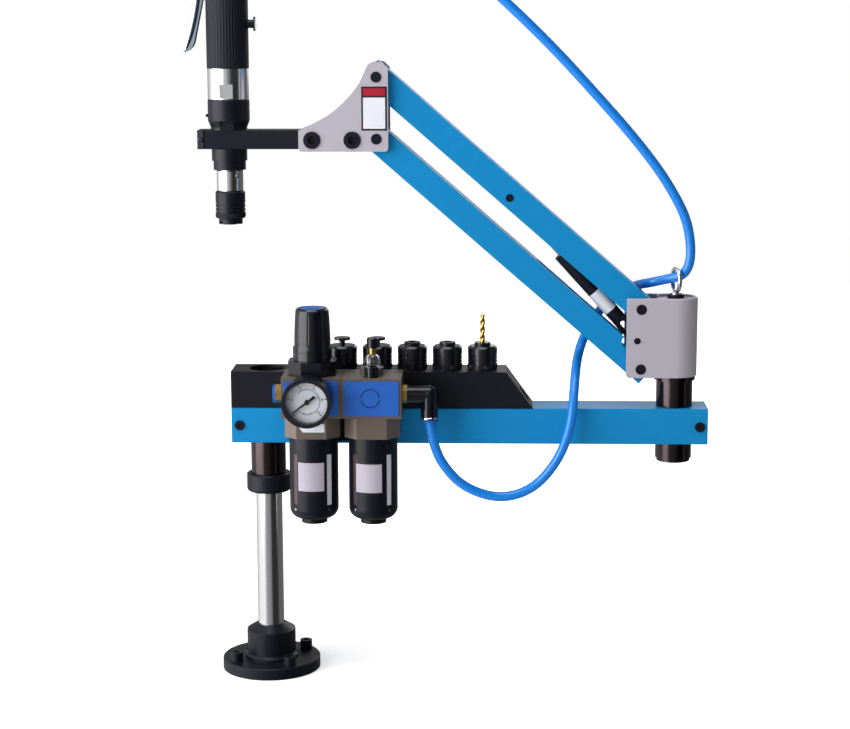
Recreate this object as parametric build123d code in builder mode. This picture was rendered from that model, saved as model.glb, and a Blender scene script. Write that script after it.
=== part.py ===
"""Pneumatic arm tapping machine: a column with a swinging beam, and on the beam's far end a
parallel arm that carries an upright air motor with a quick-change tapping chuck.

Millimetres, +Z up. The origin is the centre of the base flange's underside, the beam runs
from the column along +X, and the air preparation unit hangs on the beam's -Y side.
"""

from build123d import *
import os
from math import asin, cos, degrees, hypot, pi, radians, sin, tan

# ------------------------------------------------------------------ fits and clearances
SNUG = 0.02  # radial gap of a pin or sleeve fixed in its own body
RUN = 0.05  # radial gap of a running fit
AIR = 0.3  # gap between two bodies that pass each other
SLACK = 1.5  # extra radius of the gas spring's loose eye

# ------------------------------------------------------------------ hose
HOSE_R = 5.0
TUBE_BORE_R = HOSE_R + RUN
AIRWAY_R = HOSE_R + 1.0

# ------------------------------------------------------------------ base and column
FLANGE_R = 52.5
FLANGE_T = 12.0
FLANGE_EDGE = 1.0
FOOT_R = 29.0
FOOT_H = 2.5
BOSS_R = 26.0
BOSS_TOP = 42.5
NECK_R = 15.5
NECK_TOP = 49.0
SOCKET_FLOOR = 3.0
BOLT_RING_R = 42.0
BOLT_COUNT = 4
BOLT_TURN = 33.0
BOLT_R = 4.0
BOLT_HOLE_R = 4.5
BOLT_REACH = 18.0
BOLT_HEAD_R = 6.5
BOLT_HEAD_H = 10.0
BOLT_KEY = 6.0
COLUMN_R = 14.0
COLUMN_WALL = 4.0

# ------------------------------------------------------------------ height ring
RING_R = 23.5
RING_LOW = 196.0
RING_H = 19.5
RING_EDGE = 1.0
RING_ROUND = 3.0
RING_TOP = RING_LOW + RING_H
RING_SCREW_R = 3.0

# ------------------------------------------------------------------ beam and its sleeves
BEAM_LEFT = -36.0
BEAM_LENGTH = 500.0
BEAM_RIGHT = BEAM_LEFT + BEAM_LENGTH
BEAM_LOW = RING_TOP + 36.5
BEAM_H = 38.0
BEAM_TOP = BEAM_LOW + BEAM_H
BEAM_HALF = 23.0
COLUMN_TOP = BEAM_TOP + 10.0
BEAM_WALL = 3.0
BEAM_CORNER = 2.0
CAP_T = 13.0
CAP_SCREW_R = 3.0
CAP_SCREW_HEAD_R = 5.2
CAP_SCREW_HEAD_H = 1.5
CAP_SCREW_IN = 8.5
SLEEVE_R = 18.5
POST_X = BEAM_RIGHT - 34.0
POST_R = 12.5
POST_SLEEVE_R = 19.0
POST_SLEEVE_LOW = BEAM_LOW - 17.5
POST_SLEEVE_TOP = BEAM_TOP + 28.0
BUSH_WALL = 2.0
BUSH_LENGTH = 20.0

# ------------------------------------------------------------------ tool tray and its collets
TRAY_TOP = BEAM_TOP + 38.5
TRAY_RIGHT = BEAM_LEFT + 317.0
TRAY_TOP_RIGHT = TRAY_RIGHT - 28.0
TRAY_WALL = 2.5
TRAY_HOLE_R = SLEEVE_R
TRAY_SLOT_W = 14.0
TRAY_SLOT_H = 16.0
TRAY_SLOT_DROP = 9.0
COLLET_COUNT = 6
COLLET_FIRST = 43.0
COLLET_PITCH = 37.0
COLLET_R = 15.5
COLLET_H = 25.0
COLLET_SHOULDER = 2.0
COLLET_GROOVE_W = 1.6
COLLET_GROOVE_D = 0.8
COLLET_GROOVES = 3
COLLET_GROOVE_LOW = 6.0
COLLET_GROOVE_STEP = 4.0
SHANK_R = 9.5
SHANK_LENGTH = 18.0
TOP_RING_R = 8.5
TOP_RING_H = 3.5
SPOOL_NECK_R = 3.0
SPOOL_H = 8.0
SPOOL_RIM_H = 2.5
SPOOLS = (2, 3)
TAP_BORE_R = 4.5
TAP_BORE_DEPTH = 25.0
DRILL_R = 2.6
DRILL_TOP = TRAY_TOP + 58.5
DRILL_DEPTH = 12.0

# ------------------------------------------------------------------ air preparation unit
UNIT_Y = -53.0
UNIT_DEPTH = 52.0
UNIT_BACK = UNIT_Y + UNIT_DEPTH / 2
UNIT_FRONT = UNIT_Y - UNIT_DEPTH / 2
UNIT_LOW = BEAM_TOP
UNIT_H = 42.0
UNIT_TOP = UNIT_LOW + UNIT_H
UNIT_Z = (UNIT_LOW + UNIT_TOP) / 2
MODULE_W = 61.3
MODULE_GAP = 0.5
REG_X = 53.2
LUB_X = REG_X + MODULE_W + MODULE_GAP
MODULE_EDGE = 2.0
BRACKET_LOW = BEAM_LOW + 4.0
BRACKET_HALF_W = 26.0
PLATE_T = 1.6
PLATE_W = 56.0
PLATE_H = 36.0
PLATE_CORNER = 2.0
NUT_LOW = UNIT_LOW - 22.0
NUT_HALF_X = 28.6
NUT_HALF_Y = 25.0
NUT_CORNER = 13.0
GUARD_R = 25.4
GUARD_WALL = 2.5
GUARD_LOW = NUT_LOW - 87.5
GUARD_ROUND = 11.0
GUARD_FOOT_R = 13.5
GUARD_FOOT_H = 5.0
GUARD_SLOT_W = 6.5
GUARD_SLOT_LOW = GUARD_LOW + 16.5
GUARD_SLOT_TOP = GUARD_SLOT_LOW + 54.0
GUARD_SLOT_TURN = -46.0
GUARD_DOT_R = 2.0
GUARD_DOT_Z = GUARD_SLOT_LOW - 5.0
BOWL_R = GUARD_R - GUARD_WALL - 1.0
BOWL_WALL = 2.0
BOWL_LOW = GUARD_LOW + 3.0
DRAIN_R = 2.2
DRAIN_LOW = GUARD_LOW - GUARD_FOOT_H - 2.5
BONNET_R = 24.5
BONNET_TOP = UNIT_TOP + 15.0
COLLAR_R = 19.8
COLLAR_TOP = BONNET_TOP + 9.0
KNOB_R = 18.8
KNOB_TOP_R = 17.2
KNOB_TOP = COLLAR_TOP + 45.0
KNOB_RIM = 3.0
KNOB_DISC_R = 12.5
REG_SPINDLE_R = 4.0
GAUGE_X = REG_X - 2.2
GAUGE_Z = UNIT_Z
GAUGE_R = 25.5
GAUGE_FRONT = UNIT_FRONT - 28.0
GAUGE_DEPTH = 23.0
GAUGE_RIM = 4.2
GAUGE_STEM_R = 7.0
DIAL_Y = GAUGE_FRONT + 9.5
DIAL_T = 1.0
NEEDLE_Y = GAUGE_FRONT + 7.0
NEEDLE_T = 0.8
NEEDLE_LENGTH = 20.0
NEEDLE_TAIL = 10.0
NEEDLE_HALF = 0.5
NEEDLE_REST = 217.0
NEEDLE_HUB_R = 2.6
NEEDLE_PIN_R = 1.0
LENS_T = 1.6
DOME_Y = UNIT_Y
DOME_BOSS_R = 11.8
DOME_BOSS_H = 8.0
DOME_R = 8.2
DOME_H = 12.5
DOME_WALL = 1.4
DRIP_STEM_R = 2.8
DRIP_CAP_R = 5.9
DRIP_NECK_R = 3.8
DRIP_CAP_LOW = UNIT_TOP + DOME_BOSS_H + DOME_H + 7.0
DRIP_CAP_TOP = DRIP_CAP_LOW + 10.5
PLUG_Y = UNIT_Y - 17.5
PLUG_R = 7.4
PLUG_TOP = UNIT_TOP + 11.0
PLUG_KEY = 6.0
NIPPLE_R = 8.5
LEFT_NIPPLE = 8.0
RIGHT_NIPPLE = 5.0
FITTING_R = 9.0
KNEE_R = FITTING_R + AIR
KNEE_BORE_R = 4.0
ELBOW_X = LUB_X + 58.6
ELBOW_LOW = UNIT_LOW - 5.0
RELEASE_R = 8.0
INLET_RELEASE_R = 9.3
RELEASE_T = 2.6

# ------------------------------------------------------------------ head
HEAD_LEFT = POST_X - 52.0
HEAD_LOW = POST_SLEEVE_TOP + 5.0
HEAD_TOP = HEAD_LOW + 83.0
HEAD_HALF = 23.0
HEAD_EDGE = 1.5
HEAD_TOE = 2.0
RECESS_R = 19.0
RECESS_DEPTH = 2.0
SLOT_HALF = 15.5
PIVOT_X = POST_X - 37.0
LOWER_PIVOT_Z = HEAD_LOW + 9.0
PIVOT_SPACING = 63.0
UPPER_PIVOT_Z = LOWER_PIVOT_Z + PIVOT_SPACING
PIN_R = 5.5
GAS_X = PIVOT_X - 4.0
GAS_Z = LOWER_PIVOT_Z + 30.0
GAS_PIN_R = 3.5
ARM_PIN_R = 4.0
PIN_PROUD = 0.6
THRUST_R = 21.5
POST_TOP = HEAD_TOP - 24.0
POST_WASHER_R = 17.5
POST_WASHER_T = 3.0
EYE_BASE_R = 6.2
EYE_BASE_H = 6.2
EYE_R = 12.1
EYE_WIRE_R = 2.3
EYE_LIFT = 2.6
EYE_TURN = 14.0
EYE_SHANK_R = 5.0
EYE_SHANK = 18.0

# ------------------------------------------------------------------ arms and gas spring
ARM_LENGTH = 364.0
ARM_REST = 41.1
ARM_H = 27.0
ARM_HALF = 14.0
ARM_WALL = 2.5
ARM_OVERRUN = 10.0
ARM_BOSS_R = 9.0
ARM_SLOT_HALF = 9.0
ARM_SLOT_END = 155.0
ARM_NOTCH_R = 6.5
ARM_NOTCH_ALONG = 28.0
ARM_NOTCH_UP = 12.0
GAS_PIN_ALONG = 179.0
GAS_PIN_DOWN = 3.5
CYL_R = 7.75
CYL_BORE_R = 6.2
CYL_NEAR = 29.0
CYL_FAR = 119.0
CYL_PLUG = 6.0
YOKE_T = 9.0
YOKE_HALF = 7.5
YOKE_SLOT = 5.5
ROD_R = 3.0
ROD_IN = 60.0
PISTON_H = 8.0
EYE_END_R = 9.0
EYE_END_T = 8.0

# ------------------------------------------------------------------ front bracket and tool bar
ARM_END_X = PIVOT_X - ARM_LENGTH * cos(radians(ARM_REST))
ARM_RISE = ARM_LENGTH * sin(radians(ARM_REST))
FRONT_LOWER_Z = LOWER_PIVOT_Z + ARM_RISE
FRONT_UPPER_Z = UPPER_PIVOT_Z + ARM_RISE
BRK_HALF = 22.0
BRK_LEFT = ARM_END_X - 80.2
BRK_RIGHT = ARM_END_X + 12.3
BRK_LOW = FRONT_LOWER_Z - 12.9
BRK_SLOT = ARM_END_X - 17.2
BRK_TOP_R = 16.0
BRK_SHOULDER = 8.0
BRK_LOBE_DROP = 6.0
BRK_FACET = 6.0
BRK_SAG_X = 36.0
BRK_SAG_Z = 35.0
BRK_CORNER = 4.0
BAR_LOW = BRK_LOW + 2.0
BAR_H = 19.4
BAR_TOP = BAR_LOW + BAR_H
BAR_HALF = 14.0
BAR_BOLT_X = (ARM_END_X - 66.4, ARM_END_X - 24.9)
BAR_BOLT_R = 5.0
BAR_BOLT_HEAD_R = 8.8
BAR_BOLT_HEAD_H = 6.0
BAR_BOLT_PROUD = 1.2
BAR_BOLT_KEY = 8.0
CLAMP_W = 6.5
CLAMP_SLIT = 1.0
CLAMP_SCREW_R = 2.5

# ------------------------------------------------------------------ air motor and chuck
TOOL_X = ARM_END_X - 154.2
BAR_LEFT = TOOL_X - 31.5
NOSE_R = 21.7
NOSE_TAPER_R = 19.0
NOSE_TAPER_Z = BAR_TOP + 9.7
NOSE_TOP = BAR_TOP + 31.7
STEM_R = 11.0
NUT_R = 18.4
NUT_STEP_R = 16.8
NUT_STEP_Z = BAR_LOW - 12.4
NUT_BOTTOM = BAR_LOW - 21.9
NUT_RECESS = 3.0
NOSE_BOTTOM = NUT_BOTTOM + NUT_RECESS + 2.0
HOUSING_R = 21.3
HOUSING_TOP = NOSE_TOP + 31.3
HOUSING_NECK_R = 18.0
GRIP_R = 21.8
GRIP_TOP = HOUSING_TOP + 105.2
FLAT_W = 14.0
FLAT_DEPTH = 1.6
FLAT_LOW = NOSE_TOP + 1.0
FLAT_TOP = FLAT_LOW + 14.5
MOTOR_FLOOR = 6.0
MOTOR_BORE_R = 14.0
MOTOR_BORE_TOP = HOUSING_TOP + 29.2
ROTOR_R = 12.0
ROTOR_LOW = NOSE_TOP + 10.5
ROTOR_TOP = MOTOR_BORE_TOP - 6.0
ROTOR_SHAFT_R = 4.0
ROTOR_SHAFT_IN = 8.0
VANES = 6
VANE_DEPTH = 4.0
VANE_W = 1.2
CAP_R = 20.5
CAP_TOP = GRIP_TOP + 22.0
INLET_HEX = 17.0
INLET_HEX_H = 7.0
INLET_R = 8.0
INLET_H = 15.0
INLET_TOP = CAP_TOP + INLET_HEX_H + INLET_H
LEVER_X = TOOL_X - 26.5
LEVER_Z = GRIP_TOP - 6.0
LEVER_PIN_R = 2.0
LEVER_HALF = 6.5
LEVER_T = 1.6
LEVER_W = 9.3
LEVER_BEND_X = TOOL_X - 33.6
LEVER_BEND_Z = LEVER_Z - 29.7
LEVER_TIP_X = TOOL_X - 44.6
LEVER_TIP_Z = LEVER_Z - 82.7
LEVER_TOE = 10.5
EAR_T = 3.0
EAR_R = 5.0
EAR_H = 8.0
EAR_ROOT = 6.0
VALVE_Z = LEVER_Z - 26.0
VALVE_R = 4.0
VALVE_OUT = TOOL_X - 31.0
VALVE_IN = TOOL_X - 16.5
VALVE_TRAVEL = 5.0
BUTTON_Z = HOUSING_TOP + 45.2
BUTTON_R = 4.3
BUTTON_RIM_R = 7.3
BUTTON_RIM_T = 2.0
BUTTON_OUT = TOOL_X + 29.5
BUTTON_IN = TOOL_X + 16.5
BUTTON_TRAVEL = 3.0
SPINDLE_R = 6.0
SPINDLE_TOP = NOSE_TOP - 5.5
BEARING_R = 8.5
BEARING_T = 8.0
BEARING_Z = (NOSE_BOTTOM + 5.0, NOSE_TOP - 23.5)
DRUM_R = 11.5
CHUCK_SLEEVE_R = 13.8
CHUCK_SLEEVE_TOP = NUT_BOTTOM - 0.8
CHUCK_SLEEVE_LOW = CHUCK_SLEEVE_TOP - 21.0
DRUM_TOP = CHUCK_SLEEVE_TOP + 1.0
DRUM_LOW = CHUCK_SLEEVE_LOW - 0.3
BALL_HOLE_R = 2.6
BALL_HOLE_Z = CHUCK_SLEEVE_TOP - 5.0
BALL_HOLE_TURN = 38.0
CHUCK_LOW = DRUM_LOW - 28.4
CHUCK_NOSE_R = 12.4
CHUCK_NOSE_H = 6.0
CHUCK_NOTCH_W = 4.0
CHUCK_NOTCH_H = 3.0
CHUCK_NOTCHES = 4

STAND = (Align.CENTER, Align.CENTER, Align.MIN)
CORNER = (Align.MIN, Align.MIN, Align.MIN)
CUT = Mode.SUBTRACT


# ------------------------------------------------------------------ small helpers
def post(radius, low, high, x=0.0, y=0.0, mode=Mode.ADD):
    """Round bar on a vertical axis at (x, y)."""
    with Locations((x, y, low)):
        Cylinder(radius, high - low, align=STAND, mode=mode)


def across(radius, x, z, front, back, mode=Mode.ADD):
    """Round bar along +Y, from y = front to y = back."""
    with Locations(Plane(origin=(x, front, z), x_dir=(1, 0, 0), z_dir=(0, 1, 0))):
        Cylinder(radius, back - front, align=STAND, mode=mode)


def along(radius, left, right, y, z, mode=Mode.ADD):
    """Round bar along +X, from x = left to x = right."""
    with Locations(Plane(origin=(left, y, z), x_dir=(0, 1, 0), z_dir=(1, 0, 0))):
        Cylinder(radius, right - left, align=STAND, mode=mode)


def block(left, right, front, back, low, high, mode=Mode.ADD):
    """Box between two corners."""
    with Locations((left, front, low)):
        Box(right - left, back - front, high - low, align=CORNER, mode=mode)


def upright(x, y):
    """Sketch plane facing -Y through (x, y), its own y running up from z = 0."""
    return Plane(origin=(x, y, 0), x_dir=(1, 0, 0), z_dir=(0, -1, 0))


def spin(x, y):
    """Vertical axis through (x, y)."""
    return Axis((x, y, 0), (0, 0, 1))


def outline(points, plane):
    """Flat face with straight sides."""
    with BuildSketch(plane) as sketch:
        with BuildLine():
            Polyline(points, close=True)
        make_face()
    return sketch.sketch


def key_socket(width, depth):
    """Hexagonal prism that a key fits, standing below the origin."""
    with BuildPart() as socket:
        with BuildSketch():
            RegularPolygon(width / 2, 6, major_radius=False)
        extrude(amount=-depth)
    return socket.part


def arm_plane(x, z, angle=ARM_REST):
    """Plane whose x runs out along an arm that rises to -X, and whose z is +Y."""
    return Plane(
        origin=(x, 0, z),
        x_dir=(-cos(radians(angle)), 0, sin(radians(angle))),
        z_dir=(0, 1, 0),
    )


ARM_PIN = arm_plane(PIVOT_X, UPPER_PIVOT_Z).from_local_coords((GAS_PIN_ALONG, -GAS_PIN_DOWN, 0))
GAS_LENGTH = hypot(GAS_X - ARM_PIN.X, ARM_PIN.Z - GAS_Z)
GAS_REST = degrees(asin((ARM_PIN.Z - GAS_Z) / GAS_LENGTH))
GAS_PLANE = arm_plane(GAS_X, GAS_Z, GAS_REST)


# ------------------------------------------------------------------ base
def base_flange():
    with BuildPart() as flange:
        with BuildSketch(Plane.XZ):
            with BuildLine():
                Polyline(
                    (0, 0),
                    (FLANGE_R, 0),
                    (FLANGE_R, FLANGE_T - FLANGE_EDGE),
                    (FLANGE_R - FLANGE_EDGE, FLANGE_T),
                    (FOOT_R, FLANGE_T),
                    (FOOT_R, FLANGE_T + FOOT_H),
                    (BOSS_R, FLANGE_T + 2 * FOOT_H),
                    (BOSS_R, BOSS_TOP),
                    (NECK_R, NECK_TOP),
                    (0, NECK_TOP),
                    close=True,
                )
            make_face()
        revolve(axis=Axis.Z)
        post(COLUMN_R + SNUG, SOCKET_FLOOR, NECK_TOP, mode=CUT)
        with PolarLocations(BOLT_RING_R, BOLT_COUNT, BOLT_TURN):
            Cylinder(BOLT_HOLE_R, FLANGE_T, align=STAND, mode=CUT)
    return flange


def flange_bolts():
    """Four shouldered cap screws. Their studs stand out below to enter the bench."""
    socket = key_socket(BOLT_KEY, BOLT_HEAD_H / 2)
    with BuildPart() as bolts:
        with PolarLocations(BOLT_RING_R, BOLT_COUNT, BOLT_TURN):
            post(BOLT_R, -BOLT_REACH, 0)
            post(BOLT_HOLE_R - SNUG, 0, FLANGE_T)
            post(BOLT_HEAD_R, FLANGE_T, FLANGE_T + BOLT_HEAD_H)
            with Locations((0, 0, FLANGE_T + BOLT_HEAD_H)):
                add(socket, mode=CUT)
    return bolts


def column():
    with BuildPart() as tube:
        post(COLUMN_R, SOCKET_FLOOR, COLUMN_TOP)
        post(COLUMN_R - COLUMN_WALL, SOCKET_FLOOR, COLUMN_TOP - COLUMN_WALL, mode=CUT)
        chamfer(tube.edges().filter_by(GeomType.CIRCLE).sort_by(Axis.Z)[-1], 1)
    return tube


def height_ring():
    """Clamping ring with its grub screw, the screw a solid of its own."""
    middle = RING_LOW + RING_H / 2
    with BuildPart() as ring:
        post(RING_R, RING_LOW, RING_TOP)
        rims = ring.edges().filter_by(GeomType.CIRCLE).sort_by(Axis.Z)
        chamfer(rims[-1], RING_EDGE)
        fillet(rims[0], RING_ROUND)
        post(COLUMN_R + RUN, RING_LOW, RING_TOP, mode=CUT)
        across(RING_SCREW_R + SNUG, 0, middle, 0, RING_R, mode=CUT)
        across(RING_SCREW_R, 0, middle, COLUMN_R + AIR, RING_R - 2)
    return ring


# ------------------------------------------------------------------ beam
def beam_tube():
    with BuildPart() as tube:
        block(BEAM_LEFT, BEAM_RIGHT, -BEAM_HALF, BEAM_HALF, BEAM_LOW, BEAM_TOP)
        fillet(tube.edges().filter_by(Axis.X), BEAM_CORNER)
        inside = BEAM_HALF - BEAM_WALL
        block(BEAM_LEFT, BEAM_RIGHT, -inside, inside, BEAM_LOW + BEAM_WALL, BEAM_TOP - BEAM_WALL, CUT)
        post(SLEEVE_R + SNUG, BEAM_LOW, BEAM_TOP, mode=CUT)
        post(POST_SLEEVE_R + SNUG, BEAM_LOW, BEAM_TOP, x=POST_X, mode=CUT)
        for x in (BEAM_LEFT + CAP_SCREW_IN, BEAM_RIGHT - CAP_SCREW_IN):
            across(CAP_SCREW_R + SNUG, x, BEAM_LOW + BEAM_H / 2, -BEAM_HALF, 0, mode=CUT)
    return tube


def beam_end_caps():
    """Plug in each end of the beam and the screw that holds it."""
    inside = BEAM_HALF - BEAM_WALL - SNUG
    low = BEAM_LOW + BEAM_WALL + SNUG
    high = BEAM_TOP - BEAM_WALL - SNUG
    middle = BEAM_LOW + BEAM_H / 2
    key = key_socket(CAP_SCREW_R, CAP_SCREW_HEAD_H)
    with BuildPart() as caps:
        for left in (BEAM_LEFT, BEAM_RIGHT - CAP_T):
            block(left, left + CAP_T, -inside, inside, low, high)
        for x in (BEAM_LEFT + CAP_SCREW_IN, BEAM_RIGHT - CAP_SCREW_IN):
            across(CAP_SCREW_R + SNUG, x, middle, -inside, 0, mode=CUT)
        for x in (BEAM_LEFT + CAP_SCREW_IN, BEAM_RIGHT - CAP_SCREW_IN):
            across(CAP_SCREW_R, x, middle, -BEAM_HALF, -AIR)
            across(CAP_SCREW_HEAD_R, x, middle, -BEAM_HALF - CAP_SCREW_HEAD_H, -BEAM_HALF)
            with Locations(Plane(origin=(x, -BEAM_HALF - CAP_SCREW_HEAD_H, middle), z_dir=(0, -1, 0))):
                add(key, mode=CUT)
    return caps


def beam_sleeves():
    """Sleeve that turns on the column, sleeve round the pivot post, and its two bushes."""
    bore = POST_R + RUN
    with BuildPart() as sleeves:
        post(SLEEVE_R, RING_TOP + AIR, BEAM_TOP)
        post(COLUMN_R + RUN, RING_TOP + AIR, BEAM_TOP, mode=CUT)
        post(POST_SLEEVE_R, POST_SLEEVE_LOW, POST_SLEEVE_TOP, x=POST_X)
        post(bore + BUSH_WALL + SNUG, POST_SLEEVE_LOW, POST_SLEEVE_TOP, x=POST_X, mode=CUT)
        for low in (POST_SLEEVE_LOW, POST_SLEEVE_TOP - BUSH_LENGTH):
            post(bore + BUSH_WALL, low, low + BUSH_LENGTH, x=POST_X)
            post(bore, low, low + BUSH_LENGTH, x=POST_X, mode=CUT)
    return sleeves


def tray_outline(inset, low, plane):
    slope = (TRAY_RIGHT - TRAY_TOP_RIGHT) / (TRAY_TOP - BEAM_TOP)
    right = inset * hypot(1, slope)
    top = TRAY_TOP - inset
    foot = TRAY_RIGHT - right + (BEAM_TOP - low) * slope
    return outline(
        [
            (BEAM_LEFT + inset, low),
            (foot, low),
            (TRAY_TOP_RIGHT - right + inset * slope, top),
            (BEAM_LEFT + inset, top),
        ],
        plane,
    )


def tool_tray():
    """Folded sheet box, open below, with holes for the column and for the collets' shanks."""
    back = TRAY_RIGHT - TRAY_TOP_RIGHT
    lean = degrees(asin(back / hypot(back, TRAY_TOP - BEAM_TOP)))
    inside = BEAM_HALF - TRAY_WALL
    slope_mid = Vector((TRAY_RIGHT + TRAY_TOP_RIGHT) / 2, 0, (BEAM_TOP + TRAY_TOP) / 2)
    down_slope = Vector(sin(radians(lean)), 0, -cos(radians(lean)))
    slot_normal = (cos(radians(lean)), 0, sin(radians(lean)))
    with BuildPart() as tray:
        extrude(tray_outline(0, BEAM_TOP, upright(0, BEAM_HALF)), amount=2 * BEAM_HALF)
        extrude(tray_outline(TRAY_WALL, BEAM_TOP, upright(0, inside)), amount=2 * inside, mode=CUT)
        post(TRAY_HOLE_R, BEAM_TOP, TRAY_TOP, mode=CUT)
        for index in range(COLLET_COUNT):
            post(SHANK_R + AIR, BEAM_TOP, TRAY_TOP, x=COLLET_FIRST + index * COLLET_PITCH, mode=CUT)
        slot_middle = slope_mid + down_slope * TRAY_SLOT_DROP
        with Locations(Plane(origin=slot_middle, x_dir=(0, 1, 0), z_dir=slot_normal)):
            Box(TRAY_SLOT_W, TRAY_SLOT_H, 3 * TRAY_WALL, mode=CUT)
    return tray


# ------------------------------------------------------------------ air preparation unit
def frl_bracket():
    """Plate between the beam and the two modules."""
    with BuildPart() as bracket:
        for x in (REG_X, LUB_X):
            block(x - BRACKET_HALF_W, x + BRACKET_HALF_W, UNIT_BACK, -BEAM_HALF, UNIT_LOW, TRAY_TOP)
        block(REG_X, LUB_X, UNIT_BACK, -BEAM_HALF, BRACKET_LOW, TRAY_TOP)
    return bracket


def module(x):
    """Body block with the bowl nut below it, bored for the air way."""
    block(x - MODULE_W / 2, x + MODULE_W / 2, UNIT_FRONT, UNIT_BACK, UNIT_LOW, UNIT_TOP)
    across_x = NUT_HALF_X - NUT_CORNER
    across_y = NUT_HALF_Y - NUT_CORNER
    corners = [
        (NUT_HALF_X, -across_y),
        (NUT_HALF_X, across_y),
        (across_x, NUT_HALF_Y),
        (-across_x, NUT_HALF_Y),
        (-NUT_HALF_X, across_y),
        (-NUT_HALF_X, -across_y),
        (-across_x, -NUT_HALF_Y),
        (across_x, -NUT_HALF_Y),
    ]
    extrude(outline(corners, Plane(origin=(x, UNIT_Y, NUT_LOW))), amount=UNIT_LOW - NUT_LOW)
    post(BOWL_R - BOWL_WALL, NUT_LOW, UNIT_LOW + MODULE_EDGE, x=x, y=UNIT_Y, mode=CUT)


def regulator_body():
    with BuildPart() as body:
        module(REG_X)
        along(AIRWAY_R, REG_X - MODULE_W / 2, REG_X + MODULE_W / 2, UNIT_Y, UNIT_Z, mode=CUT)
        across(GAUGE_STEM_R - 3, GAUGE_X, GAUGE_Z, UNIT_FRONT, UNIT_Y, mode=CUT)
    return body


def lubricator_body():
    boss_y = DOME_Y - 3
    with BuildPart() as body:
        module(LUB_X)
        along(AIRWAY_R, LUB_X - MODULE_W / 2, LUB_X + MODULE_W / 2, UNIT_Y, UNIT_Z, mode=CUT)
        post(DOME_BOSS_R, UNIT_TOP, UNIT_TOP + DOME_BOSS_H, x=LUB_X, y=boss_y)
        post(PLUG_R + SNUG, UNIT_TOP, PLUG_TOP, x=LUB_X, y=PLUG_Y, mode=CUT)
        post(DOME_R - DOME_WALL - 2, UNIT_TOP, UNIT_TOP + DOME_BOSS_H, x=LUB_X, y=DOME_Y, mode=CUT)
    return body


def front_plates():
    """Coloured cover plate on the front of each module, the left one holed for the gauge."""
    with BuildPart() as plates:
        for x in (REG_X, LUB_X):
            with BuildSketch(upright(x, UNIT_FRONT)):
                with Locations((0, UNIT_Z)):
                    RectangleRounded(PLATE_W, PLATE_H, PLATE_CORNER)
            extrude(amount=PLATE_T)
        across(GAUGE_STEM_R + SNUG, GAUGE_X, GAUGE_Z, UNIT_FRONT - PLATE_T, UNIT_FRONT, mode=CUT)
    return plates


def bowl_guards():
    """Two slotted sheet guards with a round bottom and a foot."""
    with BuildPart() as guards:
        for x in (REG_X, LUB_X):
            with BuildSketch(upright(x, UNIT_Y)):
                with BuildLine():
                    Polyline(
                        (GUARD_FOOT_R - GUARD_WALL, GUARD_LOW - GUARD_FOOT_H),
                        (GUARD_FOOT_R, GUARD_LOW - GUARD_FOOT_H),
                        (GUARD_FOOT_R, GUARD_LOW),
                        (GUARD_R - GUARD_ROUND, GUARD_LOW),
                    )
                    JernArc((GUARD_R - GUARD_ROUND, GUARD_LOW), (1, 0), GUARD_ROUND, 90)
                    Polyline(
                        (GUARD_R, GUARD_LOW + GUARD_ROUND),
                        (GUARD_R, NUT_LOW),
                        (GUARD_R - GUARD_WALL, NUT_LOW),
                        (GUARD_R - GUARD_WALL, GUARD_LOW + GUARD_ROUND),
                    )
                    JernArc(
                        (GUARD_R - GUARD_WALL, GUARD_LOW + GUARD_ROUND),
                        (0, -1),
                        GUARD_ROUND - GUARD_WALL,
                        -90,
                    )
                    Polyline(
                        (GUARD_R - GUARD_ROUND, GUARD_LOW + GUARD_WALL),
                        (GUARD_FOOT_R - GUARD_WALL, GUARD_LOW + GUARD_WALL),
                        (GUARD_FOOT_R - GUARD_WALL, GUARD_LOW - GUARD_FOOT_H),
                    )
                make_face()
            revolve(axis=spin(x, UNIT_Y))
            for turn in range(4):
                angle = GUARD_SLOT_TURN + 90 * turn
                with Locations(Location((x, UNIT_Y, GUARD_SLOT_LOW), (0, 0, angle))):
                    slot_size = (GUARD_R + 2, GUARD_SLOT_W, GUARD_SLOT_TOP - GUARD_SLOT_LOW)
                    Box(*slot_size, align=(Align.MIN, Align.CENTER, Align.MIN), mode=CUT)
                with Locations(Location((x, UNIT_Y, GUARD_DOT_Z), (0, 90, angle))):
                    Cylinder(GUARD_DOT_R, GUARD_R + 2, align=STAND, mode=CUT)
    return guards


def bowls():
    """Clear bowls inside the guards, hung in the bowl nuts."""
    with BuildPart() as cups:
        for x in (REG_X, LUB_X):
            post(BOWL_R, BOWL_LOW + GUARD_ROUND, NUT_LOW, x=x, y=UNIT_Y)
            with Locations((x, UNIT_Y, BOWL_LOW)):
                Cone(
                    BOWL_R - GUARD_ROUND / 2,
                    BOWL_R,
                    GUARD_ROUND,
                    align=STAND,
                )
            bore = BOWL_R - BOWL_WALL - GUARD_ROUND / 2
            post(bore, BOWL_LOW + BOWL_WALL, NUT_LOW, x=x, y=UNIT_Y, mode=CUT)
            post(BOWL_R - BOWL_WALL, BOWL_LOW + GUARD_ROUND, NUT_LOW, x=x, y=UNIT_Y, mode=CUT)
        post(DRAIN_R + RUN, BOWL_LOW, BOWL_LOW + BOWL_WALL, x=REG_X, y=UNIT_Y, mode=CUT)
    return cups


def drain_valve():
    """Push-up drain pin of the filter bowl, with a collar inside the bowl."""
    floor = BOWL_LOW + BOWL_WALL + AIR
    with BuildPart() as drain:
        post(DRAIN_R, DRAIN_LOW, floor + 2, x=REG_X, y=UNIT_Y)
        post(DRAIN_R + 2, floor, floor + 2, x=REG_X, y=UNIT_Y)
    return drain


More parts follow.
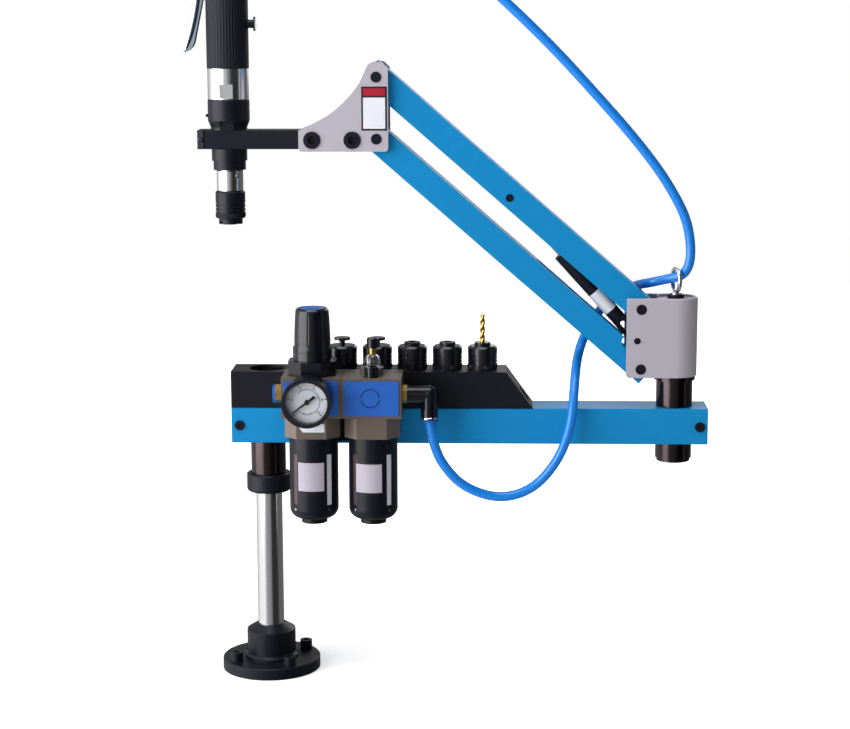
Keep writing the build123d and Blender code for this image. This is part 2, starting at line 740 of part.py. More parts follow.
def regulator_bonnet():
    """Spring housing with an eight-sided foot and a round collar."""
    with BuildPart() as bonnet:
        with BuildSketch(Plane(origin=(REG_X, UNIT_Y, UNIT_TOP))):
            RegularPolygon(BONNET_R, 8, major_radius=False, rotation=22.5)
        extrude(amount=BONNET_TOP - UNIT_TOP)
        post(COLLAR_R, BONNET_TOP, COLLAR_TOP, x=REG_X, y=UNIT_Y)
        post(REG_SPINDLE_R, COLLAR_TOP, KNOB_TOP - 12, x=REG_X, y=UNIT_Y)
    return bonnet


def regulator_knob():
    """Hollow tapered knob that turns on the bonnet's spindle."""
    low = COLLAR_TOP + AIR
    with BuildPart() as knob:
        with BuildSketch(upright(REG_X, UNIT_Y)):
            with BuildLine():
                Polyline(
                    (0, low),
                    (COLLAR_R, low),
                    (COLLAR_R, low + KNOB_RIM),
                    (KNOB_R, low + 2 * KNOB_RIM),
                    (KNOB_TOP_R, KNOB_TOP - 2),
                    (KNOB_TOP_R - 2, KNOB_TOP),
                    (KNOB_DISC_R, KNOB_TOP),
                    (KNOB_DISC_R, KNOB_TOP - 1),
                    (0, KNOB_TOP - 1),
                    close=True,
                )
            make_face()
        revolve(axis=spin(REG_X, UNIT_Y))
        post(REG_SPINDLE_R + RUN, low, KNOB_TOP - 12 + AIR, x=REG_X, y=UNIT_Y, mode=CUT)
    return knob


def gauge_case():
    """Cup with a threaded stem behind it."""
    back = GAUGE_FRONT + GAUGE_DEPTH
    with BuildPart() as case:
        across(GAUGE_R, GAUGE_X, GAUGE_Z, GAUGE_FRONT, back)
        across(GAUGE_STEM_R, GAUGE_X, GAUGE_Z, back, UNIT_FRONT)
        across(GAUGE_R - GAUGE_RIM, GAUGE_X, GAUGE_Z, GAUGE_FRONT, DIAL_Y + DIAL_T, mode=CUT)
        across(NEEDLE_PIN_R + RUN, GAUGE_X, GAUGE_Z, DIAL_Y, back - 2, mode=CUT)
    return case


def gauge_dial():
    with BuildPart() as dial:
        across(GAUGE_R - GAUGE_RIM - SNUG, GAUGE_X, GAUGE_Z, DIAL_Y, DIAL_Y + DIAL_T)
        across(NEEDLE_PIN_R + RUN, GAUGE_X, GAUGE_Z, DIAL_Y, DIAL_Y + DIAL_T, mode=CUT)
    return dial


def gauge_needle():
    """Pointer at zero, on a pin that runs back through the dial."""
    turn = radians(NEEDLE_REST)
    tip = (NEEDLE_LENGTH * cos(turn), NEEDLE_LENGTH * sin(turn))
    side = (-sin(turn), cos(turn))
    tail = (-NEEDLE_TAIL * cos(turn), -NEEDLE_TAIL * sin(turn))
    wide = 3 * NEEDLE_HALF
    blade = [
        (tip[0] + NEEDLE_HALF * side[0], tip[1] + NEEDLE_HALF * side[1]),
        (tail[0] + wide * side[0], tail[1] + wide * side[1]),
        (tail[0] - wide * side[0], tail[1] - wide * side[1]),
        (tip[0] - NEEDLE_HALF * side[0], tip[1] - NEEDLE_HALF * side[1]),
    ]
    face = Plane(origin=(GAUGE_X, NEEDLE_Y, GAUGE_Z), x_dir=(1, 0, 0), z_dir=(0, -1, 0))
    with BuildPart() as needle:
        extrude(outline(blade, face), amount=NEEDLE_T)
        across(NEEDLE_HUB_R, GAUGE_X, GAUGE_Z, NEEDLE_Y - NEEDLE_T, NEEDLE_Y + 1)
        across(NEEDLE_PIN_R, GAUGE_X, GAUGE_Z, NEEDLE_Y, DIAL_Y + DIAL_T + 8)
    return needle


def sight_glasses():
    """Clear gauge lens and the clear dome over the oil drip."""
    lens_y = GAUGE_FRONT + 1
    low = UNIT_TOP + DOME_BOSS_H
    with BuildPart() as glasses:
        across(GAUGE_R - GAUGE_RIM - SNUG, GAUGE_X, GAUGE_Z, lens_y, lens_y + LENS_T)
        post(DOME_R, low, low + DOME_H, x=LUB_X, y=DOME_Y)
        rim = glasses.edges().filter_by(GeomType.CIRCLE).sort_by(Axis.Z)[-1]
        fillet(rim, DOME_R * 0.5)
        post(DOME_R - DOME_WALL, low, low + DOME_H - 2 * DOME_WALL, x=LUB_X, y=DOME_Y, mode=CUT)
        post(DRIP_STEM_R + RUN, low, low + DOME_H, x=LUB_X, y=DOME_Y, mode=CUT)
    return glasses


def drip_adjuster():
    """Oil drip screw: a stem in the dome's neck under a small cap."""
    with BuildPart() as adjuster:
        post(DRIP_STEM_R, UNIT_TOP + DOME_BOSS_H + DOME_H / 2, DRIP_CAP_LOW, x=LUB_X, y=DOME_Y)
        post(DRIP_CAP_R, DRIP_CAP_LOW, DRIP_CAP_TOP, x=LUB_X, y=DOME_Y)
        chamfer(adjuster.edges().filter_by(GeomType.CIRCLE).sort_by(Axis.Z)[-1], 0.8)
    return adjuster


def oil_plug():
    socket = key_socket(PLUG_KEY, 3)
    with BuildPart() as plug:
        post(PLUG_R, UNIT_TOP, PLUG_TOP, x=LUB_X, y=PLUG_Y)
        with Locations((LUB_X, PLUG_Y, PLUG_TOP)):
            add(socket, mode=CUT)
    return plug


def hexagon_bar(plane, width, length):
    with BuildSketch(plane) as sketch:
        RegularPolygon(width / 2, 6, major_radius=False)
    extrude(sketch.sketch, amount=length)


def brass_nipples():
    """Hexagon nipple at each end of the unit, and the bush on the drip dome."""
    left = REG_X - MODULE_W / 2
    right = LUB_X + MODULE_W / 2
    dome_top = UNIT_TOP + DOME_BOSS_H + DOME_H
    with BuildPart() as nipples:
        facing = Plane(origin=(left - LEFT_NIPPLE, UNIT_Y, UNIT_Z), z_dir=(1, 0, 0))
        hexagon_bar(facing, 2 * NIPPLE_R, LEFT_NIPPLE)
        facing = Plane(origin=(right, UNIT_Y, UNIT_Z), z_dir=(1, 0, 0))
        hexagon_bar(facing, 2 * NIPPLE_R, RIGHT_NIPPLE)
        along(TUBE_BORE_R, left - LEFT_NIPPLE, right + RIGHT_NIPPLE, UNIT_Y, UNIT_Z, mode=CUT)
        post(DRIP_NECK_R, dome_top, DRIP_CAP_LOW - AIR, x=LUB_X, y=DOME_Y)
        post(DRIP_STEM_R + RUN, dome_top, DRIP_CAP_LOW, x=LUB_X, y=DOME_Y, mode=CUT)
    return nipples


def elbow_fitting():
    """Push-in elbow that turns the air down into the hose."""
    left = LUB_X + MODULE_W / 2 + RIGHT_NIPPLE
    with BuildPart() as elbow:
        along(FITTING_R, left, ELBOW_X, UNIT_Y, UNIT_Z)
        with Locations((ELBOW_X, UNIT_Y, UNIT_Z)):
            Sphere(KNEE_R)
        post(FITTING_R, ELBOW_LOW, UNIT_Z, x=ELBOW_X, y=UNIT_Y)
        along(KNEE_BORE_R, left, ELBOW_X, UNIT_Y, UNIT_Z, mode=CUT)
        post(TUBE_BORE_R, ELBOW_LOW, UNIT_Z + TUBE_BORE_R, x=ELBOW_X, y=UNIT_Y, mode=CUT)
    return elbow


def release_rings():
    """Coloured release rings of the air inlet and of the elbow."""
    left = REG_X - MODULE_W / 2 - LEFT_NIPPLE
    with BuildPart() as rings:
        along(INLET_RELEASE_R, left - RELEASE_T, left, UNIT_Y, UNIT_Z)
        along(TUBE_BORE_R, left - RELEASE_T, left, UNIT_Y, UNIT_Z, mode=CUT)
        post(RELEASE_R, ELBOW_LOW - RELEASE_T, ELBOW_LOW, x=ELBOW_X, y=UNIT_Y)
        post(TUBE_BORE_R, ELBOW_LOW - RELEASE_T, ELBOW_LOW, x=ELBOW_X, y=UNIT_Y, mode=CUT)
    return rings


# ------------------------------------------------------------------ collets
def collet_rings(low, x):
    """Gripping grooves round a collet that stands on height low."""
    for index in range(COLLET_GROOVES):
        groove = low + COLLET_GROOVE_LOW + index * COLLET_GROOVE_STEP
        with BuildSketch(Plane(origin=(x, 0, groove))) as band:
            Circle(COLLET_R)
            Circle(COLLET_R - COLLET_GROOVE_D, mode=CUT)
        extrude(band.sketch, amount=COLLET_GROOVE_W, mode=CUT)


def tap_collet(number):
    """Collet that stands in the tray by its shank: spool-topped, plain, or with a drill in it."""
    x = COLLET_FIRST + (number - 1) * COLLET_PITCH
    low = TRAY_TOP + RUN
    top = low + COLLET_H
    with BuildPart() as collet:
        post(COLLET_R, low, top, x=x)
        chamfer(collet.edges().filter_by(GeomType.CIRCLE).sort_by(Axis.Z)[-1], COLLET_SHOULDER)
        collet_rings(low, x)
        post(SHANK_R, low - SHANK_LENGTH, low, x=x)
        if number in SPOOLS:
            post(SPOOL_NECK_R, top, top + SPOOL_H, x=x)
            post(TOP_RING_R, top + SPOOL_H - SPOOL_RIM_H, top + SPOOL_H, x=x)
        else:
            post(TOP_RING_R, top, top + TOP_RING_H, x=x)
            bore = DRILL_R + SNUG if number == COLLET_COUNT else TAP_BORE_R
            post(bore, top - DRILL_DEPTH, top + TOP_RING_H, x=x, mode=CUT)
    return collet


def twist_drill():
    x = COLLET_FIRST + (COLLET_COUNT - 1) * COLLET_PITCH
    seat = TRAY_TOP + RUN + COLLET_H - DRILL_DEPTH
    with BuildPart() as drill:
        post(DRILL_R, seat, DRILL_TOP - DRILL_R, x=x)
        with Locations((x, 0, DRILL_TOP - DRILL_R)):
            Cone(DRILL_R, 0.3, DRILL_R, align=STAND)
    return drill


# ------------------------------------------------------------------ head
def head_casting():
    middle = (HEAD_LEFT + POST_X) / 2
    width = POST_X - HEAD_LEFT
    with BuildPart() as head:
        with BuildSketch(Plane.XY.offset(HEAD_LOW)):
            with Locations((middle, 0)):
                Rectangle(width, 2 * HEAD_HALF)
            with Locations((POST_X, 0)):
                Circle(HEAD_HALF)
        extrude(amount=HEAD_TOP - HEAD_LOW)
        top_edges = head.faces().sort_by(Axis.Z)[-1].edges()
        chamfer(top_edges, HEAD_EDGE)
        slot_end = PIVOT_X + hypot(ARM_OVERRUN, ARM_H / 2) + 4 * AIR
        block(HEAD_LEFT, slot_end, -SLOT_HALF, SLOT_HALF, HEAD_LOW, HEAD_TOP, mode=CUT)
        toe = [
            (HEAD_LEFT, HEAD_LOW),
            (HEAD_LEFT + HEAD_TOE, HEAD_LOW),
            (HEAD_LEFT, HEAD_LOW + HEAD_TOE),
        ]
        extrude(outline(toe, upright(0, HEAD_HALF)), amount=2 * HEAD_HALF, mode=CUT)
        post(RECESS_R, HEAD_TOP - RECESS_DEPTH, HEAD_TOP, x=POST_X, mode=CUT)
        for z in (LOWER_PIVOT_Z, UPPER_PIVOT_Z):
            across(PIN_R + SNUG, PIVOT_X, z, -HEAD_HALF, HEAD_HALF, mode=CUT)
        across(GAS_PIN_R + SNUG, GAS_X, GAS_Z, -HEAD_HALF, HEAD_HALF, mode=CUT)
        post(POST_R + SNUG, HEAD_LOW, POST_TOP, x=POST_X, mode=CUT)
        post(EYE_SHANK_R + SNUG, HEAD_TOP - EYE_SHANK, HEAD_TOP, x=POST_X, mode=CUT)
    return head


def head_pins():
    """Three cross pins: both arm pivots and the gas spring's."""
    end = HEAD_HALF + PIN_PROUD
    with BuildPart() as pins:
        for z in (LOWER_PIVOT_Z, UPPER_PIVOT_Z):
            across(PIN_R, PIVOT_X, z, -end, end)
        across(GAS_PIN_R, GAS_X, GAS_Z, -end, end)
        chamfer(pins.edges().filter_by(GeomType.CIRCLE), 0.5)
    return pins


def pivot_shaft():
    """Post of the head, the thrust ring on it and the washer that keeps it in the sleeve."""
    ring_low = POST_SLEEVE_TOP + AIR
    washer_top = POST_SLEEVE_LOW - AIR
    with BuildPart() as shaft:
        post(THRUST_R, ring_low, HEAD_LOW, x=POST_X)
        post(POST_R + SNUG, ring_low, HEAD_LOW, x=POST_X, mode=CUT)
        post(POST_R, washer_top, POST_TOP, x=POST_X)
        post(POST_WASHER_R, washer_top - POST_WASHER_T, washer_top, x=POST_X)
    return shaft


def eye_bolt():
    """Ring that guides the hose, screwed into the head over the post."""
    seat = HEAD_TOP - RECESS_DEPTH
    ring_z = HEAD_TOP + EYE_LIFT + EYE_R + EYE_WIRE_R
    turned = Plane(
        origin=(POST_X, 0, ring_z),
        x_dir=(0, 0, 1),
        z_dir=(cos(radians(EYE_TURN)), sin(radians(EYE_TURN)), 0),
    )
    with BuildPart() as eye:
        with Locations(turned):
            Torus(EYE_R, EYE_WIRE_R)
        post(EYE_BASE_R, seat, seat + EYE_BASE_H, x=POST_X)
        post(EYE_SHANK_R, HEAD_TOP - EYE_SHANK, seat, x=POST_X)
    return eye


# ------------------------------------------------------------------ arms and gas spring
def channel(pivot_z):
    """Folded channel, open below, with a bored boss at each pivot."""
    plane = arm_plane(PIVOT_X, pivot_z)
    inner = ARM_HALF - ARM_WALL
    mid = (ARM_LENGTH / 2, 0)
    length = ARM_LENGTH + 2 * ARM_OVERRUN
    with BuildPart() as arm:
        with BuildSketch(plane):
            with Locations(mid):
                Rectangle(length, ARM_H)
        extrude(amount=ARM_HALF, both=True)
        with BuildSketch(plane):
            with Locations((ARM_LENGTH / 2, -ARM_WALL)):
                Rectangle(length + 2, ARM_H)
        extrude(amount=inner, both=True, mode=CUT)
        with BuildSketch(plane):
            with Locations((0, 0), (ARM_LENGTH, 0)):
                Circle(ARM_BOSS_R)
        extrude(amount=SLOT_HALF - AIR, both=True)
        with BuildSketch(plane):
            with Locations((0, 0), (ARM_LENGTH, 0)):
                Circle(PIN_R + RUN)
        extrude(amount=ARM_HALF + 2, both=True, mode=CUT)
    return arm


def upper_arm():
    arm = channel(UPPER_PIVOT_Z)
    with BuildPart() as bored:
        add(arm.part)
        across(ARM_PIN_R + SNUG, ARM_PIN.X, ARM_PIN.Z, -ARM_HALF, ARM_HALF, mode=CUT)
    return bored


def lower_arm():
    """Channel whose web is slotted for the gas spring and notched for its pin in the head."""
    arm = channel(LOWER_PIVOT_Z)
    plane = arm_plane(PIVOT_X, LOWER_PIVOT_Z)
    slot_mid = ((ARM_SLOT_END - ARM_OVERRUN) / 2, ARM_H / 2)
    with BuildPart() as slotted:
        add(arm.part)
        with BuildSketch(plane):
            with Locations(slot_mid):
                Rectangle(ARM_SLOT_END + ARM_OVERRUN, 2 * ARM_WALL + RUN)
        extrude(amount=ARM_SLOT_HALF, both=True, mode=CUT)
        with BuildSketch(plane):
            with Locations((ARM_NOTCH_ALONG, ARM_NOTCH_UP)):
                Circle(ARM_NOTCH_R)
        extrude(amount=ARM_HALF + RUN, both=True, mode=CUT)
    return slotted


def gas_spring_pin():
    with BuildPart() as pin:
        across(ARM_PIN_R, ARM_PIN.X, ARM_PIN.Z, -ARM_HALF - PIN_PROUD, ARM_HALF + PIN_PROUD)
    return pin


def gas_cylinder():
    """Pressure tube with a plug at each end and a long slotted yoke on the head's pin."""
    lengthwise = Plane(origin=GAS_PLANE.origin, x_dir=(0, 1, 0), z_dir=GAS_PLANE.x_dir)
    with BuildPart() as cylinder:
        with BuildSketch(lengthwise.offset(CYL_NEAR)):
            Circle(CYL_R)
        extrude(amount=CYL_FAR - CYL_NEAR)
        with BuildSketch(lengthwise.offset(CYL_NEAR + CYL_PLUG)):
            Circle(CYL_BORE_R + RUN)
        extrude(amount=CYL_FAR - CYL_NEAR - 2 * CYL_PLUG, mode=CUT)
        with BuildSketch(lengthwise.offset(CYL_FAR - CYL_PLUG)):
            Circle(ROD_R + RUN)
        extrude(amount=CYL_PLUG, mode=CUT)
        with BuildSketch(GAS_PLANE):
            Circle(YOKE_HALF)
            with Locations((CYL_NEAR / 2, 0)):
                Rectangle(CYL_NEAR, 2 * YOKE_HALF)
            with Locations(((CYL_NEAR + GAS_PIN_R) / 2, 0)):
                SlotOverall(CYL_NEAR - 4 * GAS_PIN_R, YOKE_SLOT, mode=CUT)
            Circle(GAS_PIN_R + RUN, mode=CUT)
        extrude(amount=YOKE_T / 2, both=True)
    return cylinder


def gas_rod():
    """Piston, rod and end eye. The eye is bored loose over the arm's pin."""
    lengthwise = Plane(origin=GAS_PLANE.origin, x_dir=(0, 1, 0), z_dir=GAS_PLANE.x_dir)
    with BuildPart() as rod:
        with BuildSketch(lengthwise.offset(ROD_IN)):
            Circle(CYL_BORE_R)
        extrude(amount=PISTON_H)
        with BuildSketch(lengthwise.offset(ROD_IN)):
            Circle(ROD_R)
        extrude(amount=GAS_LENGTH - ROD_IN)
        with BuildSketch(GAS_PLANE):
            with Locations((GAS_LENGTH, 0)):
                Circle(EYE_END_R)
        extrude(amount=EYE_END_T / 2, both=True)
        with BuildSketch(GAS_PLANE):
            with Locations((GAS_LENGTH, 0)):
                Circle(ARM_PIN_R + SLACK)
        extrude(amount=EYE_END_T / 2, both=True, mode=CUT)
    return rod


# ------------------------------------------------------------------ front bracket and tool bar
def front_bracket():
    """Casting with a swept front edge, slotted for the arms and bored for the tool bar."""
    lobe = (ARM_END_X - BRK_TOP_R - 1, FRONT_UPPER_Z - BRK_LOBE_DROP)
    crown = FRONT_UPPER_Z + BRK_TOP_R - 1
    with BuildPart() as bracket:
        with BuildSketch(upright(0, BRK_HALF)):
            with BuildLine():
                Polyline(
                    lobe,
                    (ARM_END_X - BRK_SHOULDER, crown - 2),
                    (ARM_END_X - BRK_SHOULDER / 4, crown),
                    (BRK_RIGHT - BRK_FACET, crown),
                    (BRK_RIGHT, crown - BRK_FACET),
                    (BRK_RIGHT, BRK_LOW),
                    (BRK_LEFT, BRK_LOW),
                    (BRK_LEFT, BAR_TOP),
                )
                sag = (ARM_END_X - BRK_SAG_X, FRONT_LOWER_Z + BRK_SAG_Z)
                ThreePointArc((BRK_LEFT, BAR_TOP), sag, lobe)
            make_face()
        extrude(amount=2 * BRK_HALF)
        low_edges = bracket.edges().filter_by(Axis.Y).sort_by(Axis.Z)[:2]
        fillet(low_edges, BRK_CORNER)
        block(BRK_SLOT, BRK_RIGHT, -SLOT_HALF, SLOT_HALF, BRK_LOW, FRONT_UPPER_Z + 30, mode=CUT)
        block(BRK_LEFT, BRK_SLOT, -BAR_HALF, BAR_HALF, BAR_LOW, BAR_TOP, mode=CUT)
        for z in (FRONT_LOWER_Z, FRONT_UPPER_Z):
            across(PIN_R + SNUG, ARM_END_X, z, -BRK_HALF, BRK_HALF, mode=CUT)
        for x in BAR_BOLT_X:
            seat = -BRK_HALF - BAR_BOLT_PROUD + BAR_BOLT_HEAD_H
            across(BAR_BOLT_R + SNUG, x, BAR_LOW + BAR_H / 2, -BRK_HALF, BRK_HALF, mode=CUT)
            across(BAR_BOLT_HEAD_R + SNUG, x, BAR_LOW + BAR_H / 2, -BRK_HALF, seat, mode=CUT)
    return bracket


def bracket_fasteners():
    """Both arm pins, the tool bar's two cap screws and the motor clamp's screw."""
    end = BRK_HALF + PIN_PROUD
    head_front = -BRK_HALF - BAR_BOLT_PROUD
    middle = BAR_LOW + BAR_H / 2
    socket = key_socket(BAR_BOLT_KEY, BAR_BOLT_HEAD_H - 2)
    with BuildPart() as fasteners:
        for z in (FRONT_LOWER_Z, FRONT_UPPER_Z):
            across(PIN_R, ARM_END_X, z, -end, end)
        for x in BAR_BOLT_X:
            across(BAR_BOLT_HEAD_R, x, middle, head_front, head_front + BAR_BOLT_HEAD_H)
            across(BAR_BOLT_R, x, middle, head_front + BAR_BOLT_HEAD_H, BRK_HALF)
            with Locations(Plane(origin=(x, head_front, middle), z_dir=(0, -1, 0))):
                add(socket, mode=CUT)
        across(CLAMP_SCREW_R, BAR_LEFT + CLAMP_W / 2, middle, -BAR_HALF - PIN_PROUD, BAR_HALF - 2)
    return fasteners


def tool_bar():
    """Square bar, bored for the motor's nose and slit at its end to clamp it."""
    right = BRK_SLOT - AIR
    middle = BAR_LOW + BAR_H / 2
    slit = BAR_LEFT + CLAMP_W
    with BuildPart() as bar:
        block(BAR_LEFT, right, -BAR_HALF + SNUG, BAR_HALF - SNUG, BAR_LOW + SNUG, BAR_TOP - SNUG)
        post(STEM_R + SNUG, BAR_LOW, BAR_TOP, x=TOOL_X, mode=CUT)
        block(slit, slit + CLAMP_SLIT, -BAR_HALF, BAR_HALF - 6, BAR_LOW, BAR_TOP, mode=CUT)
        across(CLAMP_SCREW_R + SNUG, BAR_LEFT + CLAMP_W / 2, middle, -BAR_HALF, BAR_HALF - 2, mode=CUT)
        for x in BAR_BOLT_X:
            across(BAR_BOLT_R + SNUG, x, middle, -BAR_HALF, BAR_HALF, mode=CUT)
    return bar


# ------------------------------------------------------------------ air motor
def nose_piece():
    """Collar above the bar with a stem through it, and the two spindle bearings inside."""
    with BuildPart() as piece:
        with BuildSketch(upright(TOOL_X, 0)):
            with BuildLine():
                Polyline(
                    (0, NOSE_BOTTOM),
                    (STEM_R, NOSE_BOTTOM),
                    (STEM_R, BAR_TOP),
                    (NOSE_TAPER_R, BAR_TOP),
                    (NOSE_TAPER_R, BAR_TOP + 3),
                    (NOSE_R, NOSE_TAPER_Z),
                    (NOSE_R, NOSE_TOP - 1),
                    (NOSE_R - 1, NOSE_TOP),
                    (0, NOSE_TOP),
                    close=True,
                )
            make_face()
        revolve(axis=spin(TOOL_X, 0))
        post(BEARING_R + SNUG, NOSE_BOTTOM, NOSE_TOP, x=TOOL_X, mode=CUT)
        block(
            TOOL_X - FLAT_W / 2,
            TOOL_X + FLAT_W / 2,
            -NOSE_R - 1,
            -NOSE_TAPER_R + FLAT_DEPTH,
            BAR_TOP,
            NOSE_TAPER_Z,
            mode=CUT,
        )
        for low in BEARING_Z:
            post(BEARING_R, low, low + BEARING_T, x=TOOL_X)
            post(SPINDLE_R + RUN, low, low + BEARING_T, x=TOOL_X, mode=CUT)
    return piece


def lock_nut():
    """Nut under the bar that holds the collar's stem, with a recess the chuck's sleeve slides into."""
    with BuildPart() as nut:
        post(NUT_R, NUT_STEP_Z, BAR_LOW, x=TOOL_X)
        post(NUT_STEP_R, NUT_BOTTOM, NUT_STEP_Z, x=TOOL_X)
        post(STEM_R + SNUG, NOSE_BOTTOM, BAR_LOW, x=TOOL_X, mode=CUT)
        post(SPINDLE_R + AIR, NUT_BOTTOM, NOSE_BOTTOM, x=TOOL_X, mode=CUT)
        post(CHUCK_SLEEVE_R + AIR, NUT_BOTTOM, NUT_BOTTOM + NUT_RECESS, x=TOOL_X, mode=CUT)
    return nut


def motor_housing():
    """Bright lower housing with wrench flats, and the neck that the grip covers."""
    valve_left = TOOL_X - HOUSING_NECK_R
    with BuildPart() as housing:
        post(HOUSING_R, NOSE_TOP, HOUSING_TOP, x=TOOL_X)
        post(HOUSING_NECK_R, HOUSING_TOP, GRIP_TOP, x=TOOL_X)
        post(MOTOR_BORE_R, NOSE_TOP + MOTOR_FLOOR, MOTOR_BORE_TOP, x=TOOL_X, mode=CUT)
        shaft_top = MOTOR_BORE_TOP + ROTOR_SHAFT_IN
        post(ROTOR_SHAFT_R + RUN, NOSE_TOP, shaft_top, x=TOOL_X, mode=CUT)
        flat = HOUSING_R - FLAT_DEPTH
        for front in (-HOUSING_R - 1, flat):
            block(
                TOOL_X - FLAT_W / 2,
                TOOL_X + FLAT_W / 2,
                front,
                front + FLAT_DEPTH + 1,
                FLAT_LOW,
                FLAT_TOP,
                mode=CUT,
            )
        along(VALVE_R + RUN, valve_left - 1, VALVE_IN + VALVE_TRAVEL + AIR, 0, VALVE_Z, mode=CUT)
        button_in = BUTTON_IN - BUTTON_TRAVEL - AIR
        along(BUTTON_R + RUN, button_in, TOOL_X + HOUSING_NECK_R + 1, 0, BUTTON_Z, mode=CUT)
    return housing


def motor_grip():
    """Rubber sleeve, holed for the throttle valve and the reversing button."""
    with BuildPart() as grip:
        post(GRIP_R, HOUSING_TOP, GRIP_TOP, x=TOOL_X)
        post(HOUSING_NECK_R + SNUG, HOUSING_TOP, GRIP_TOP, x=TOOL_X, mode=CUT)
        along(VALVE_R + AIR, TOOL_X - GRIP_R, TOOL_X, 0, VALVE_Z, mode=CUT)
        along(BUTTON_R + AIR, TOOL_X, TOOL_X + GRIP_R, 0, BUTTON_Z, mode=CUT)
    return grip


def back_head():
    """Cap of the motor with two ears for the throttle lever."""
    ear_in = LEVER_HALF + AIR
    with BuildPart() as cap:
        post(CAP_R, GRIP_TOP, CAP_TOP, x=TOOL_X)
        chamfer(cap.edges().filter_by(GeomType.CIRCLE).sort_by(Axis.Z)[-1], 3)
        for front in (-ear_in - EAR_T, ear_in):
            with BuildSketch(upright(0, front + EAR_T)):
                with BuildLine():
                    Polyline(
                        (LEVER_X - EAR_R, LEVER_Z),
                        (LEVER_X - EAR_R, LEVER_Z + EAR_H),
                        (TOOL_X - CAP_R + EAR_ROOT, CAP_TOP - EAR_ROOT),
                        (TOOL_X - CAP_R + EAR_ROOT, GRIP_TOP),
                        (LEVER_X + EAR_R, GRIP_TOP),
                        (LEVER_X + EAR_R, LEVER_Z),
                    )
                    ThreePointArc(
                        (LEVER_X + EAR_R, LEVER_Z),
                        (LEVER_X, LEVER_Z - EAR_R),
                        (LEVER_X - EAR_R, LEVER_Z),
                    )
                make_face()
            extrude(amount=EAR_T)
        across(LEVER_PIN_R, LEVER_X, LEVER_Z, -ear_in - EAR_T, ear_in + EAR_T)
        post(TUBE_BORE_R, CAP_TOP - 8, CAP_TOP, x=TOOL_X, mode=CUT)
    return cap


def motor_inlet():
    """Hexagon adaptor and push-in fitting on top of the motor."""
    hex_top = CAP_TOP + INLET_HEX_H
    with BuildPart() as inlet:
        hexagon_bar(Plane(origin=(TOOL_X, 0, CAP_TOP)), INLET_HEX, INLET_HEX_H)
        post(INLET_R, hex_top, INLET_TOP, x=TOOL_X)
        post(TUBE_BORE_R, CAP_TOP, INLET_TOP, x=TOOL_X, mode=CUT)
    return inlet


def throttle_lever():
    """Pressed lever: a strip with two side flanges and a drawn-in toe, on the cap's cross pin."""
    inner = LEVER_HALF - LEVER_T
    head_left = LEVER_X - EAR_R
    head_right = LEVER_X + EAR_R - 1
    tip = (LEVER_TIP_X, LEVER_TIP_Z)
    toe = (LEVER_TIP_X + 1.2 * LEVER_W, LEVER_TIP_Z + LEVER_TOE)
    toe_mid = ((tip[0] + toe[0]) / 2 + LEVER_T, (tip[1] + toe[1]) / 2 - LEVER_T)
    hollow = [
        (LEVER_X + 2 * EAR_R, LEVER_Z + EAR_R),
        (head_left + LEVER_T, LEVER_Z + EAR_R),
        (LEVER_BEND_X + LEVER_T, LEVER_BEND_Z),
        (LEVER_TIP_X + 2 * LEVER_T, LEVER_TIP_Z + LEVER_TOE / 2),
        (LEVER_X + 2 * EAR_R, LEVER_TIP_Z + LEVER_TOE / 2),
    ]
    with BuildPart() as lever:
        with BuildSketch(upright(0, LEVER_HALF)):
            with BuildLine():
                Polyline(
                    toe,
                    (LEVER_BEND_X + LEVER_W, LEVER_BEND_Z),
                    (head_right, LEVER_Z - EAR_R),
                    (head_right, LEVER_Z + EAR_R - 2),
                    (head_left, LEVER_Z + EAR_R - 2),
                    (LEVER_BEND_X, LEVER_BEND_Z),
                    tip,
                )
                ThreePointArc(tip, toe_mid, toe)
            make_face()
        extrude(amount=2 * LEVER_HALF)
        extrude(outline(hollow, upright(0, inner)), amount=2 * inner, mode=CUT)
        across(LEVER_PIN_R + RUN, LEVER_X, LEVER_Z, -LEVER_HALF, LEVER_HALF, mode=CUT)
    return lever


def valve_stem():
    with BuildPart() as stem:
        along(VALVE_R, VALVE_OUT, VALVE_IN, 0, VALVE_Z)
    return stem


def reverse_button():
    """Spool-shaped push button on the side away from the lever."""
    with BuildPart() as button:
        along(BUTTON_R, BUTTON_IN, BUTTON_OUT, 0, BUTTON_Z)
        along(BUTTON_RIM_R, BUTTON_OUT - BUTTON_RIM_T, BUTTON_OUT, 0, BUTTON_Z)
    return button


def motor_rotor():
    """Vane rotor on a shaft that runs in both ends of the motor's bore."""
    shaft_top = MOTOR_BORE_TOP + ROTOR_SHAFT_IN - AIR
    with BuildPart() as rotor:
        post(ROTOR_R, ROTOR_LOW, ROTOR_TOP, x=TOOL_X)
        with Locations((TOOL_X, 0, ROTOR_LOW)):
            with PolarLocations(ROTOR_R, VANES):
                Box(2 * VANE_DEPTH, VANE_W, ROTOR_TOP - ROTOR_LOW, align=STAND, mode=CUT)
        post(ROTOR_SHAFT_R, NOSE_TOP + AIR, shaft_top, x=TOOL_X)
    return rotor


# ------------------------------------------------------------------ spindle and chuck
def spindle():
    """Driven shaft that ends in the chuck's drum, bored for a collet's shank."""
    with BuildPart() as shaft:
        post(SPINDLE_R, DRUM_TOP, SPINDLE_TOP, x=TOOL_X)
        post(DRUM_R, DRUM_LOW, DRUM_TOP, x=TOOL_X)
        post(SHANK_R + RUN, DRUM_LOW, DRUM_LOW + SHANK_LENGTH + AIR, x=TOOL_X, mode=CUT)
    return shaft


